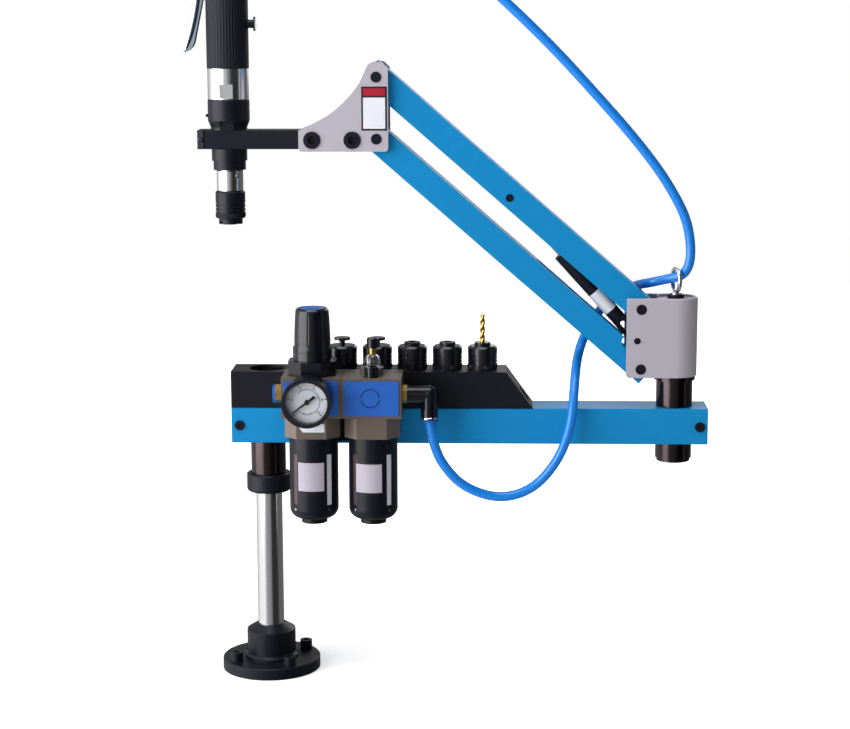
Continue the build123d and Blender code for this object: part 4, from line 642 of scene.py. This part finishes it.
def hose_piece(name, line, bodies, start, end, node):
    """One stretch of hose, built in place, hiding the node it replaces. The bodies, start and end are not
    used.
    """
    hose = bpy.context.scene.tapping_hose
    piece = tube_piece(name, line, hose.diameter / 2, hose.sides, "hose_plastic")
    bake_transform(piece)
    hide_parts(node)


class MACHINE_OT_air_hose(Operator):
    """Carry the air hose from the elbow through the ring to the motor"""

    bl_idname = "tapping.air_hose"
    bl_label = "Air hose"

    def execute(self, context):
        lower = route_line("lower_route", LOWER_ROUTE)
        upper = route_line("upper_route", UPPER_ROUTE)
        past_split = (upper[:, 0] < SPLIT_X * MM) & (upper[:, 2] > SPLIT_LOW * MM)
        if not past_split.any():
            raise ValueError("the upper hose doesn't reach the place where it is split")
        split = int(np.argmax(past_split))
        for line, (name, *run) in zip((lower, upper[: split + 1], upper[split:]), HOSE_RUNS):
            hose_piece(name, line, *run)
        return {"FINISHED"}


# ------------------------------------------------------------------ pressure gauge
GAUGE_X, GAUGE_Z = 51.0, 311.0
DIAL_Y = -97.5
DIAL_START, DIAL_SPAN = 225.0, 270.0
PRINT_T = 0.12
TICK_OUTER = 20.6
TICKS = {"major": (5, 17.8, 0.45), "minor": (50, 19.2, 0.19)}
BAND_INNER, BAND_OUTER = 12.2, 13.6
NUMERAL_COUNT, NUMERAL_STEP, NUMERAL_R, NUMERAL_SIZE = 6, 2, 15.4, 4.0
DOT_PROFILE = [(0.75, 0), (0.75, 0.2), (0.3, 0.25)]
DOT_PLACES = {"left": (-3.4, -11.6), "right": (3.2, -11.6)}


def dial_angle(share):
    """Angle on the dial at that share of its span, 225 - 270 share degrees, in radians."""
    return np.radians(DIAL_START - DIAL_SPAN * share)


def dial_ticks(name, steps, inner, half_width):
    """Bars of a width at equal shares of the dial's span, from the inner radius to the outer one."""
    angle = dial_angle(np.arange(steps + 1) / steps)
    outward = np.column_stack([np.cos(angle), np.sin(angle)])
    aside = np.column_stack([-np.sin(angle), np.cos(angle)]) * half_width
    ends = [inner * outward - aside, inner * outward + aside,
            TICK_OUTER * outward + aside, TICK_OUTER * outward - aside]
    corners = np.stack(ends, axis=1) + (GAUGE_X, GAUGE_Z)
    return bars_piece(f"gauge_{name}_ticks", corners, DIAL_Y - PRINT_T, DIAL_Y, "dial_print")


def dial_number(step):
    """Upright numeral laid flat on the dial, its middle at its step's angle and a radius."""
    text = str(NUMERAL_STEP * step)
    curve = bpy.data.curves.new(f"numeral_{text}", "FONT")
    curve.body = text
    curve.size = NUMERAL_SIZE
    curve.align_x = "CENTER"
    curve.align_y = "CENTER"
    curve.extrude = PRINT_T / 2
    mesh, flat = as_mesh(curve)
    angle = dial_angle(step / (NUMERAL_COUNT - 1))
    place = (GAUGE_X + NUMERAL_R * np.cos(angle), DIAL_Y - PRINT_T / 2, GAUGE_Z + NUMERAL_R * np.sin(angle))
    upright = flat[:, [0, 2, 1]] * (1, -1, 1) + place
    mesh.vertices.foreach_set("co", (upright * MM).ravel())
    mesh.materials.clear()
    mesh.materials.append(bpy.data.materials["dial_print"])
    piece = bpy.data.objects.new(f"gauge_numeral_{text}", mesh)
    bpy.context.scene.collection.objects.link(piece)
    return piece


def dial_band():
    """Flat arc inside the numerals, from the last one over the top to the first."""
    loop = rectangle(BAND_INNER, BAND_OUTER, 0, PRINT_T)
    arc = (DIAL_START - DIAL_SPAN, DIAL_START)
    return ring_piece("gauge_band", loop, (GAUGE_X, DIAL_Y, GAUGE_Z), "scale_band", FRONTWARD, arc=arc)


def dial_dot(side, x, z):
    """Low round dot on the dial."""
    place = (GAUGE_X + x, DIAL_Y, GAUGE_Z + z)
    return turned_piece(f"gauge_dot_{side}", DOT_PROFILE, place, "sign_red", FRONTWARD, sides=SCREW_SIDES)


class MACHINE_OT_gauge(Operator):
    """Print the pressure gauge's scale, plain numbers and marks"""

    bl_idname = "tapping.gauge"
    bl_label = "Gauge scale"

    def execute(self, context):
        ticks = [dial_ticks(name, *sizes) for name, sizes in TICKS.items()]
        dress("beam", "blue_plastic", dial_band())
        dots = [dial_dot(side, *place) for side, place in DOT_PLACES.items()]
        numerals = [dial_number(step) for step in range(NUMERAL_COUNT)]
        dress("beam", "black_plastic", *ticks, *dots, *numerals)
        return {"FINISHED"}


# ------------------------------------------------------------------ air unit
REG_X, LUB_X, UNIT_Y = 53.2, 115.0, -53.0
MODULES = {"left": REG_X, "right": LUB_X}
FILM_T, FILM_GAP = 0.15, 0.02

PLATE_FRONT = -80.6
MARK_X, MARK_Z = 114.1, 311.4
HOOP = rectangle(9.0, 9.7, 0, 0.3)
HOOP_ARCS = {"right": (-82, 82), "left": (98, 262)}
POINTER_HALF, POINTER_INNER, POINTER_WALL = 5.0, 4.2, 0.16
POINTERS = {"left": (88.0, 98.0), "right": (141.0, 131.0)}

NUT_FRONT = -78.0
STRIP_OUTLINE = [(44.5, 275.3), (66.7, 275.3), (66.7, 284.2), (37.5, 284.2)]

GUARD_R = 25.4
LABEL_HEIGHT = 30
GUARD_LABELS = {"left": (213.0, (-124.5, -61.0)), "right": (211.8, (-130.8, -66.3))}
SLOT_TURNS = (-46, 44, 134, 224)
# slot whose pane is painted dark, as painted shade in the slot
SHADED_SLOT = 224
PANE = rectangle(GUARD_R - 1.0, GUARD_R - 0.5, 197.3, 250.7)
PANE_HALF, PANE_SIDES = 7.2, 12
STUD_Z, STUD_SINK = 192.0, 0.8
STUD_PROFILE = [(1.7, 0), (1.7, 0.5), (1.2, 0.8), (0.8, 0.8), (0.7, 0.4), (0.2, 0.4)]

DOME_LOW, DOME_WALL = 340.1, 1.2
BELL = [(8.35, 0), (8.35, 5.5), (8.0, 8.2), (6.6, 10.6), (4.4, 12.2), (3.9, 13.2)]
CUFF = [(9.02, 285.4), (9.3, 285.7), (9.3, 287.1), (9.02, 287.4)]
RELEASE = [(8.02, 282.5), (8.7, 282.5), (8.9, 282.8), (8.9, 284.6), (8.02, 284.8)]

INSERT_R, INSERT_LOW, INSERT_RISE, INSERT_END = 12.3, 400.2, 2.2, 1.52
INSERT_ROWS, INSERT_SIDES = 9, 48
KNOB_R, KNOB_TAPER, KNOB_LOW, KNOB_HIGH = 18.75, 1.5, 364.0, 397.0
GROOVE_COUNT, GROOVE_HALF, GROOVE_START, GROOVE_DEPTH = 10, 0.07, 0.25, 1.3
FLUTE_RISE, FLUTE_SINK = 0.35, 0.04
FLUTE_ROWS, FLUTE_SIDES = 12, 288


def plate_hoops():
    """Two arcs of an open hoop that stands on the plate."""
    base = (MARK_X, PLATE_FRONT, MARK_Z)
    return [
        ring_piece(f"plate_hoop_{side}", HOOP, base, "dial_print", FRONTWARD, arc=arc)
        for side, arc in HOOP_ARCS.items()
    ]


def plate_pointer(side, tip, root):
    """Raised V from its root's two ends to its tip."""
    inner_tip = (1 - POINTER_WALL) * tip + POINTER_WALL * root
    outline = [
        (root, MARK_Z - POINTER_HALF), (tip, MARK_Z), (root, MARK_Z + POINTER_HALF),
        (root, MARK_Z + POINTER_INNER), (inner_tip, MARK_Z), (root, MARK_Z - POINTER_INNER),
    ]
    front = PLATE_FRONT - FILM_T
    return plate_piece(f"plate_pointer_{side}", outline, front, PLATE_FRONT, "plate_plastic")


def guard_label(side, low, arc):
    """Blank film on the bowl's guard."""
    film = rectangle(GUARD_R + FILM_GAP, GUARD_R + FILM_T, 0, LABEL_HEIGHT)
    return ring_piece(f"guard_label_{side}", film, (MODULES[side], UNIT_Y, low), "film_print", arc=arc)


def slot_pane(side, index, turn):
    """Piece of bowl that shows in one slot of the guard; in the left-front slot it is a dark pane of
    painted shade.
    """
    finish = "smoked_plastic" if turn == SHADED_SLOT else "bowl_plastic"
    arc = (turn - PANE_HALF, turn + PANE_HALF)
    base = (MODULES[side], UNIT_Y, 0)
    return ring_piece(f"slot_pane_{side}_{index}", PANE, base, finish, arc=arc, sides=PANE_SIDES)


def guard_stud(side, index, turn):
    """Small screw below a slot of the guard, pointing out of it."""
    out = np.array((np.cos(np.radians(turn)), np.sin(np.radians(turn)), 0.0))
    place = np.array((MODULES[side], UNIT_Y, STUD_Z)) + (GUARD_R - STUD_SINK) * out
    name = f"guard_stud_{side}_{index}"
    return turned_piece(name, STUD_PROFILE, place, "turned_steel", out, sides=SCREW_SIDES)


def each_slot(make):
    """The pieces that the function makes for every slot of both guards."""
    return [make(side, index, turn) for side in MODULES for index, turn in enumerate(SLOT_TURNS)]


def drip_dome():
    """Clear bell with a wall: its outer profile up, and the same less the wall down."""
    hollow = [(radius - DOME_WALL, height) for radius, height in BELL[::-1]]
    return ring_piece("drip_dome", [*BELL, *hollow], (LUB_X, UNIT_Y, DOME_LOW), "dome_glass")


def elbow_ring(name, loop, finish):
    """Ring at the elbow's mouth, round the hose."""
    return ring_piece(name, loop, (ELBOW_EXIT[0], UNIT_Y, 0), finish)


def knob_insert():
    """Low crown on the knob: radius R cos t and height low + rise sin t, for t up to near a right angle."""
    turn = np.linspace(0, 1, INSERT_ROWS) * INSERT_END
    crown = np.column_stack([INSERT_R * np.cos(turn), INSERT_LOW + INSERT_RISE * np.sin(turn)])
    base = (REG_X, UNIT_Y, 0)
    return turned_piece("knob_insert", crown, base, "plate_plastic", sides=INSERT_SIDES)


def knob_flutes():
    """Tapered drum that swells by rise sin(pi s)^0.4 (1 - depth g) - sink, with g a peak at each groove."""
    height = np.linspace(KNOB_LOW, KNOB_HIGH, FLUTE_ROWS)
    share = (height - KNOB_LOW) / (KNOB_HIGH - KNOB_LOW)
    profile = np.column_stack([KNOB_R - KNOB_TAPER * share, height])
    along = np.sin(np.pi * share) ** 0.4
    pitch = (full_circle(FLUTE_SIDES) * GROOVE_COUNT / TURN + GROOVE_START) % 1
    groove = np.clip(1 - np.abs(pitch - 0.5) / GROOVE_HALF, 0, 1)
    swell = FLUTE_RISE * along[:, None] * (1 - GROOVE_DEPTH * groove) - FLUTE_SINK
    base = (REG_X, UNIT_Y, 0)
    return turned_piece("knob_flutes", profile, base, "moulded_black", sides=FLUTE_SIDES, swell=swell)


class MACHINE_OT_unit(Operator):
    """Add the air unit's embossed mark, blank labels, panes, studs, dome, rings and knob"""

    bl_idname = "tapping.unit"
    bl_label = "Air unit details"

    def execute(self, context):
        dress("beam", "blue_plastic", *plate_hoops())
        dress("beam", "blue_plastic", *(plate_pointer(side, *ends) for side, ends in POINTERS.items()))
        strip = plate_piece("nut_strip", STRIP_OUTLINE, NUT_FRONT - FILM_T, NUT_FRONT, "label_film")
        dress("beam", "white_dial", strip)
        dress("beam", "white_dial", *(guard_label(side, *film) for side, film in GUARD_LABELS.items()))
        dress("beam", "clear_plastic", *each_slot(slot_pane))
        dress("beam", "steel", *each_slot(guard_stud))
        dress("beam", "clear_plastic", drip_dome())
        dress("beam", "steel", elbow_ring("elbow_cuff", CUFF, "bright_chrome"))
        dress("beam", "blue_plastic", elbow_ring("elbow_release", RELEASE, "plate_plastic"))
        dress("knob", "blue_plastic", knob_insert())
        dress("knob", "black_plastic", knob_flutes())
        return {"FINISHED"}


# ------------------------------------------------------------------ drill, collets and motor
TOOL_X = -35.5
COLLET_X, COLLET_PITCH = 43.0, 37.0
DRILL_X = COLLET_X + 5 * COLLET_PITCH
DRILL_R, DRILL_LOW, DRILL_TOP = 2.6, 345.0, 387.0
DRILL_ROWS, DRILL_SIDES = 90, 40
FLUTE_LOW, FLUTE_RUN, FLUTE_PITCH, FLUTE_CUT = 358.0, 3.0, 17.0, 0.45
POINT_R, POINT_SLOPE = 0.15, 1.5

RIB_ACROSS = np.array([-1.0, -0.6, 0.0, 0.6, 1.0])
RIB_LIFT = np.array([-0.12, 0.2, 0.32, 0.2, -0.12])
GRIP_R, GRIP_LOW, GRIP_HIGH = 21.8, 645.0, 746.5
GRIP_RIBS, GRIP_RIB_W, GRIP_CLEAR = 44, 0.9, 22.0
KNURL_R, KNURLS, KNURL_W = 15.45, 90, 0.3
CHUCK_KNURL = (489.5, 493.5)
COLLET_KNURL = (330.0, 334.0)

LEVER_LINE = ((-62.5, 741.0), (-63.6, 724.0), (-66.0, 694.0), (-78.6, 661.0))
LEVER_FRONT, LEVER_GAP, LEVER_CROWN = -6.5, 0.05, 1.5
LEVER_HALF, LEVER_TOE = 3.5, 0.02
LEVER_ROWS, LEVER_COLUMNS = 48, 13


def drill_piece():
    """Twist drill: r = R (1 - cut cos^4(a - turns)) gives two flutes that wind up to a cone point."""
    level = np.linspace(DRILL_LOW, DRILL_TOP, DRILL_ROWS)[:, None]
    angle = full_circle(DRILL_SIDES)[None]
    flute = FLUTE_CUT * np.clip((level - FLUTE_LOW) / FLUTE_RUN, 0, 1)
    radius = DRILL_R * (1 - flute * np.cos(angle - TURN * level / FLUTE_PITCH) ** 4)
    radius = np.minimum(radius, POINT_R + (DRILL_TOP - level) * POINT_SLOPE)
    upward = np.broadcast_to(level, radius.shape)
    points = np.stack([DRILL_X + radius * np.cos(angle), radius * np.sin(angle), upward], axis=-1)
    faces = grid_faces(*radius.shape) + end_faces(*radius.shape)
    return mesh_piece("drill_flutes", points * MM, faces, "drill_coating")


def upright_ribs(name, x, radius, levels, angles, width, finish):
    """Ribs on a cylinder: at each angle r + lift outwards and the width across, from level to level."""
    out = np.stack([np.cos(angles), np.sin(angles)], axis=-1)
    aside = np.stack([-np.sin(angles), np.cos(angles)], axis=-1)
    ring = (radius + RIB_LIFT)[:, None] * out[:, None] + (width * RIB_ACROSS)[:, None] * aside[:, None]
    ring = ring + (x, 0.0)
    layers = [np.insert(ring, 2, level, axis=2) for level in levels]
    points = np.stack(layers, axis=1)
    return mesh_piece(name, points * MM, prism_faces(len(angles), len(RIB_ACROSS)), finish)


def grip_ribs():
    """Ribs all round the grip, clear of the lever's side and of the button's."""
    angles = TURN * (np.arange(GRIP_RIBS) + 0.5) / GRIP_RIBS
    clear = np.abs(np.sin(angles)) > np.sin(np.radians(GRIP_CLEAR))
    levels = (GRIP_LOW, GRIP_HIGH)
    return upright_ribs("grip_ribs", TOOL_X, GRIP_R, levels, angles[clear], GRIP_RIB_W, "grip_rubber")


def knurl(name, x, levels, finish):
    """Band of fine upright ribs round a collet."""
    return upright_ribs(name, x, KNURL_R, levels, full_circle(KNURLS), KNURL_W, finish)


def lever_skin():
    """Rounded face along a bent line: w t to its side and b (1 - t squared) forward, narrow at the toe."""
    start, lower, bend, tip = np.array(LEVER_LINE)
    share = np.linspace(0, 1, LEVER_ROWS)[:, None]
    left = 1 - share
    line = left**3 * start + 3 * left**2 * share * lower + 3 * left * share**2 * bend + share**3 * tip
    across = np.linspace(-1, 1, LEVER_COLUMNS)
    along = np.gradient(line, axis=0)
    along /= np.linalg.norm(along, axis=1, keepdims=True)
    aside = np.column_stack([-along[:, 1], along[:, 0]])
    half = LEVER_HALF * np.sqrt(np.clip(1 - share**8, LEVER_TOE, 1))
    flat = line[:, None] + half[:, None] * across[:, None] * aside[:, None]
    crown = LEVER_CROWN * (1 - across**2) * np.sqrt(half / LEVER_HALF)
    face = np.stack([flat[..., 0], LEVER_FRONT - LEVER_GAP - crown, flat[..., 1]], axis=-1)
    faces = grid_faces(*crown.shape) + end_faces(*crown.shape)
    return mesh_piece("lever_skin", face * MM, faces, "lever_chrome")


class MACHINE_OT_tools(Operator):
    """Cut the drill's flutes, face the lever and add ribs on the grip and collets"""

    bl_idname = "tapping.tools"
    bl_label = "Tools and grip"

    def execute(self, context):
        drill = drill_piece()
        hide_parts("twist_drill")
        dress("tap_6", "gold_drill", drill)
        dress("tool_head", "rubber", grip_ribs())
        dress("lever", "chrome", lever_skin())
        dress("chuck", "black_steel", knurl("chuck_knurl", TOOL_X, CHUCK_KNURL, "blacked_steel"))
        for number in COLLETS:
            x = COLLET_X + COLLET_PITCH * (number - 1)
            ribs = knurl(f"collet_knurl_{number}", x, COLLET_KNURL, "oiled_steel")
            dress(f"tap_{number}", "black_steel", ribs)
        return {"FINISHED"}


# ------------------------------------------------------------------ signs and small metal
BRACKET_Y = -22.0
# name, (left, right, low, high), how far its back and front stand out, finish, slot
SIGN_LAYERS = (
    ("sign_border", (103.6, 129.8, 580.0, 624.8), (0.0, 0.3), "dial_print", "black_steel"),
    ("sign_body", (105.4, 128.0, 581.9, 613.6), (0.2, 0.5), "label_film", "white_dial"),
    ("sign_band", (105.4, 128.0, 615.4, 623.1), (0.2, 0.5), "sign_red", "black_steel"),
)
GAS_START = (389.0, 0.0, 362.0)
GAS_END = (255.811, 0.0, 510.033)
GAS_FILM = rectangle(7.77, 7.95, 40, 66)
GAS_FILM_ARC = (150, 400)
EYE_X = 430.0
EYE_COLLAR = [(6.25, 404.1), (8.6, 404.1), (8.9, 404.6), (8.9, 407.6), (8.2, 408.4), (6.25, 408.4)]
BAR_STRIP = rectangle(-66.6, -60.9, 560.9, 579.3)
BAR_STRIP_FRONT, BAR_STRIP_BACK = -14.25, -13.99
PIN_SIDES = 24
BAR_SCREW_PLACE = (-63.8, -14.2, 570.1)
BAR_SCREW = [(2.2, 0), (2.2, 0.7), (1.7, 1.0), (1.4, 1.0), (1.4, 0.5), (0.4, 0.5)]
PIN_PLACE = (TOOL_X - 21.4, -4.0, 594.5)
COLLAR_PIN = [(1.6, 0), (1.6, 1.6), (1.1, 2.0), (0.4, 2.0)]


def sign_layer(name, sides, stand_out, finish):
    """Flat layer of the bracket's blank plate."""
    back, front = stand_out
    return plate_piece(name, rectangle(*sides), BRACKET_Y - front, BRACKET_Y - back, finish)


def gas_label():
    """Blank film round the gas spring's cylinder."""
    along = np.array(GAS_END) - np.array(GAS_START)
    return ring_piece("gas_label", GAS_FILM, GAS_START, "label_film", along, arc=GAS_FILM_ARC)


def bar_end():
    """Strip and screw on the bar's end, and the pin on its collar."""
    return (
        plate_piece("bar_end_strip", BAR_STRIP, BAR_STRIP_FRONT, BAR_STRIP_BACK, "edge_steel"),
        turned_piece("bar_end_screw", BAR_SCREW, BAR_SCREW_PLACE, "edge_steel", FRONTWARD, sides=PIN_SIDES),
        turned_piece("collar_pin", COLLAR_PIN, PIN_PLACE, "blacked_steel", LEFTWARD, sides=PIN_SIDES),
    )


class MACHINE_OT_signs(Operator):
    """Add the bracket's blank plate, the gas spring's blank label and small metal details"""

    bl_idname = "tapping.signs"
    bl_label = "Plates and small metal"

    def execute(self, context):
        for *layer, material_slot in SIGN_LAYERS:
            dress("tool_head", material_slot, sign_layer(*layer))
        dress("gas_cylinder", "white_dial", gas_label())
        collar = ring_piece("eye_collar", EYE_COLLAR, (EYE_X, 0.0, 0.0), "blacked_steel")
        dress("head", "black_steel", collar)
        dress("tool_head", "black_steel", *bar_end())
        return {"FINISHED"}


# ------------------------------------------------------------------ finishes of the solids
class MACHINE_OT_finishes(Operator):
    """Make the finishes and give each solid its own"""

    bl_idname = "tapping.finishes"
    bl_label = "Finishes"

    def execute(self, context):
        coated_group()
        machined_group()
        make_finishes(context.scene.tapping_paint)
        for finish, names in NODE_FINISH.items():
            for name in names:
                for holder in NODES[name].material_slots:
                    holder.material = bpy.data.materials[finish]
        return {"FINISHED"}


# ------------------------------------------------------------------ stage
CAMERA_PLACE = (0.2417, -2.1299, 0.7160)
CAMERA_TILT, CAMERA_YAW, CAMERA_ROLL = 10.2, 2.0, 0.17
LAMP_TARGET = (0.2, 0.0, 0.4)
# name, setting of its power, place, width and height, colour
LAMPS = (
    ("left", "key_power", (-1.9, -1.2, 0.8), (2.8, 2.4), (1.0, 0.97, 0.97)),
    ("right", "fill_power", (2.3, -0.7, 0.7), (0.3, 2.4), (0.95, 0.97, 1.0)),
    ("top", "top_power", (0.0, -0.5, 2.6), (1.8, 1.2), (1.0, 1.0, 1.0)),
    ("front", "front_power", (-0.8, -2.7, 0.9), (2.0, 2.0), (0.9, 0.95, 1.0)),
    ("back", "back_power", (0.9, 2.2, 1.3), (1.6, 1.6), (1.0, 1.0, 1.0)),
)
# angle round the upright axis, from the front towards the right, and brightness
MIRRORED_BANDS = (
    (-90, 1.0), (-46, 1.0), (-36, 0.55), (-28, 0.36), (0, 0.27), (14, 0.2), (24, 0.03),
    (74, 0.03), (84, 0.12), (150, 0.14), (180, 0.3), (215, 0.4), (250, 0.95),
)
WHITE = (1, 1, 1, 1)
FLOOR_HALF, FLOOR_Z = 3.0, -0.1 * MM
FLOOR_COLOUR, FLOOR_ROUGHNESS = (0.9, 0.9, 0.9, 1), 0.8
FLOOR_GLOW, FLOOR_NEAR, FLOOR_FAR = 0.5, 0.15, 0.75


def camera_turn():
    """Rotation whose columns are right, up and back of a camera tilted down, yawed and rolled."""
    tilt, yaw, roll = np.radians((CAMERA_TILT, CAMERA_YAW, CAMERA_ROLL))
    ahead = np.array((-np.sin(yaw) * np.cos(tilt), np.cos(yaw) * np.cos(tilt), -np.sin(tilt)))
    right = np.array((np.cos(yaw), np.sin(yaw), 0.0))
    up = np.cross(right, ahead)
    rolled_right = np.cos(roll) * right - np.sin(roll) * up
    rolled_up = np.sin(roll) * right + np.cos(roll) * up
    return Matrix(np.column_stack([rolled_right, rolled_up, -ahead]).tolist())


def add_camera(scene, focal_length):
    """The scene's camera, at its place and turn."""
    camera = bpy.data.cameras.new("camera")
    camera.lens = focal_length
    holder = bpy.data.objects.new("camera", camera)
    holder.matrix_world = Matrix.Translation(CAMERA_PLACE) @ camera_turn().to_4x4()
    scene.collection.objects.link(holder)
    scene.camera = holder


def area_lamp(name, power, place, size, colour):
    """Rectangular lamp that looks at the machine's middle."""
    lamp = bpy.data.lights.new(name, "AREA")
    lamp.shape = "RECTANGLE"
    lamp.energy = power
    lamp.size, lamp.size_y = size
    lamp.color = colour
    holder = bpy.data.objects.new(name, lamp)
    holder.location = place
    holder.rotation_euler = (Vector(LAMP_TARGET) - Vector(place)).to_track_quat("-Z", "Y").to_euler()
    bpy.context.scene.collection.objects.link(holder)


def mirrored_room(tree):
    """Light that mirrors show, by the angle round the upright axis."""
    toward = tree.nodes.new("ShaderNodeTexCoord")
    round_up = tree.nodes.new("ShaderNodeTexGradient")
    round_up.gradient_type = "RADIAL"
    tree.links.new(toward.outputs["Generated"], round_up.inputs["Vector"])
    ramp = tree.nodes.new("ShaderNodeValToRGB")
    tree.links.new(round_up.outputs["Fac"], ramp.inputs["Fac"])
    stops = ramp.color_ramp.elements
    while len(stops) < len(MIRRORED_BANDS):
        stops.new(0.5)
    for stop, (angle, level) in zip(stops, MIRRORED_BANDS):
        stop.position = 0.25 + angle / 360
        stop.color = (level, level, level, 1)
    return ramp.outputs["Color"]


def studio_world(stage):
    """White to the camera and through clear parts, soft bands in mirrors, even light for the rest."""
    world = bpy.data.worlds.new("studio")
    world.use_nodes = True
    tree = world.node_tree
    rays = tree.nodes.new("ShaderNodeLightPath").outputs
    bands = maths(tree, "MULTIPLY", mirrored_room(tree), stage.mirrored_strength)
    shown = blend(tree, "Float", rays["Is Glossy Ray"], stage.world_strength, bands)
    seen = maths(tree, "MAXIMUM", rays["Is Camera Ray"], rays["Is Transmission Ray"])
    background = tree.nodes["Background"].inputs
    tree.links.new(blend(tree, "Float", seen, shown, 1.0), background["Strength"])
    background["Color"].default_value = WHITE
    return world


def floor_finish():
    """Pale floor that keeps the shadow near the machine, fades to white, and isn't mirrored."""
    paint = bpy.data.materials.new("floor_paint")
    paint.use_nodes = True
    tree = paint.node_tree
    shader = tree.nodes["Principled BSDF"]
    shader.inputs["Base Color"].default_value = FLOOR_COLOUR
    shader.inputs["Roughness"].default_value = FLOOR_ROUGHNESS
    shader.inputs["Specular IOR Level"].default_value = 0.0
    shader.inputs["Emission Color"].default_value = WHITE
    place = tree.nodes.new("ShaderNodeTexCoord")
    reach = tree.nodes.new("ShaderNodeVectorMath")
    reach.operation = "LENGTH"
    tree.links.new(place.outputs["Object"], reach.inputs[0])
    far = tree.nodes.new("ShaderNodeMapRange")
    far.interpolation_type = "SMOOTHSTEP"
    far.inputs["From Min"].default_value = FLOOR_NEAR
    far.inputs["From Max"].default_value = FLOOR_FAR
    tree.links.new(reach.outputs["Value"], far.inputs["Value"])
    rays = tree.nodes.new("ShaderNodeLightPath").outputs
    glow = blend(tree, "Float", far.outputs["Result"], FLOOR_GLOW, 1.0)
    tree.links.new(maths(tree, "MULTIPLY", glow, rays["Is Camera Ray"]), shader.inputs["Emission Strength"])
    clear = tree.nodes.new("ShaderNodeBsdfTransparent")
    mixed = tree.nodes.new("ShaderNodeMixShader")
    for socket, source in zip(mixed.inputs, (rays["Is Glossy Ray"], shader.outputs[0], clear.outputs[0])):
        tree.links.new(source, socket)
    tree.links.new(mixed.outputs[0], tree.nodes["Material Output"].inputs["Surface"])


def floor_piece():
    """Square floor just under the machine."""
    corners = np.insert(rectangle(-FLOOR_HALF, FLOOR_HALF, -FLOOR_HALF, FLOOR_HALF), 2, FLOOR_Z, axis=1)
    return mesh_piece("floor", corners, [(0, 1, 2, 3)], "floor_paint", smooth=False)


class MACHINE_OT_stage(Operator):
    """Set the floor, the soft light and the camera"""

    bl_idname = "tapping.stage"
    bl_label = "Stage"

    def execute(self, context):
        stage = context.scene.tapping_stage
        add_camera(context.scene, stage.focal_length)
        context.scene.world = studio_world(stage)
        floor_finish()
        floor_piece()
        for name, setting, *layout in LAMPS:
            area_lamp(name, getattr(stage, setting), *layout)
        context.scene.view_settings.view_transform = "Standard"
        return {"FINISHED"}


# ------------------------------------------------------------------ add-on
OPERATORS = (
    MACHINE_OT_finishes,
    MACHINE_OT_stage,
    MACHINE_OT_air_hose,
    MACHINE_OT_gauge,
    MACHINE_OT_unit,
    MACHINE_OT_tools,
    MACHINE_OT_signs,
)


class MACHINE_PT_panel(Panel):
    """Buttons that build each group of pieces, in order"""

    bl_label = "Tapping machine"
    bl_idname = "MACHINE_PT_panel"
    bl_space_type = "VIEW_3D"
    bl_region_type = "UI"
    bl_category = "Tapping machine"

    def draw(self, context):
        for operator in OPERATORS:
            self.layout.operator(operator.bl_idname)
        for name, settings in SETTINGS.items():
            for setting in settings.__annotations__:
                self.layout.prop(getattr(context.scene, name), setting)


CLASSES = (*SETTINGS.values(), *OPERATORS, MACHINE_PT_panel)


def register():
    for item in CLASSES:
        bpy.utils.register_class(item)
    for name, settings in SETTINGS.items():
        setattr(bpy.types.Scene, name, PointerProperty(type=settings))


def unregister():
    for name in SETTINGS:
        delattr(bpy.types.Scene, name)
    for item in reversed(CLASSES):
        bpy.utils.unregister_class(item)


def main():
    register()
    for operator in OPERATORS:
        group, name = operator.bl_idname.split(".")
        getattr(getattr(bpy.ops, group), name)()


if __name__ == "__main__":
    main()
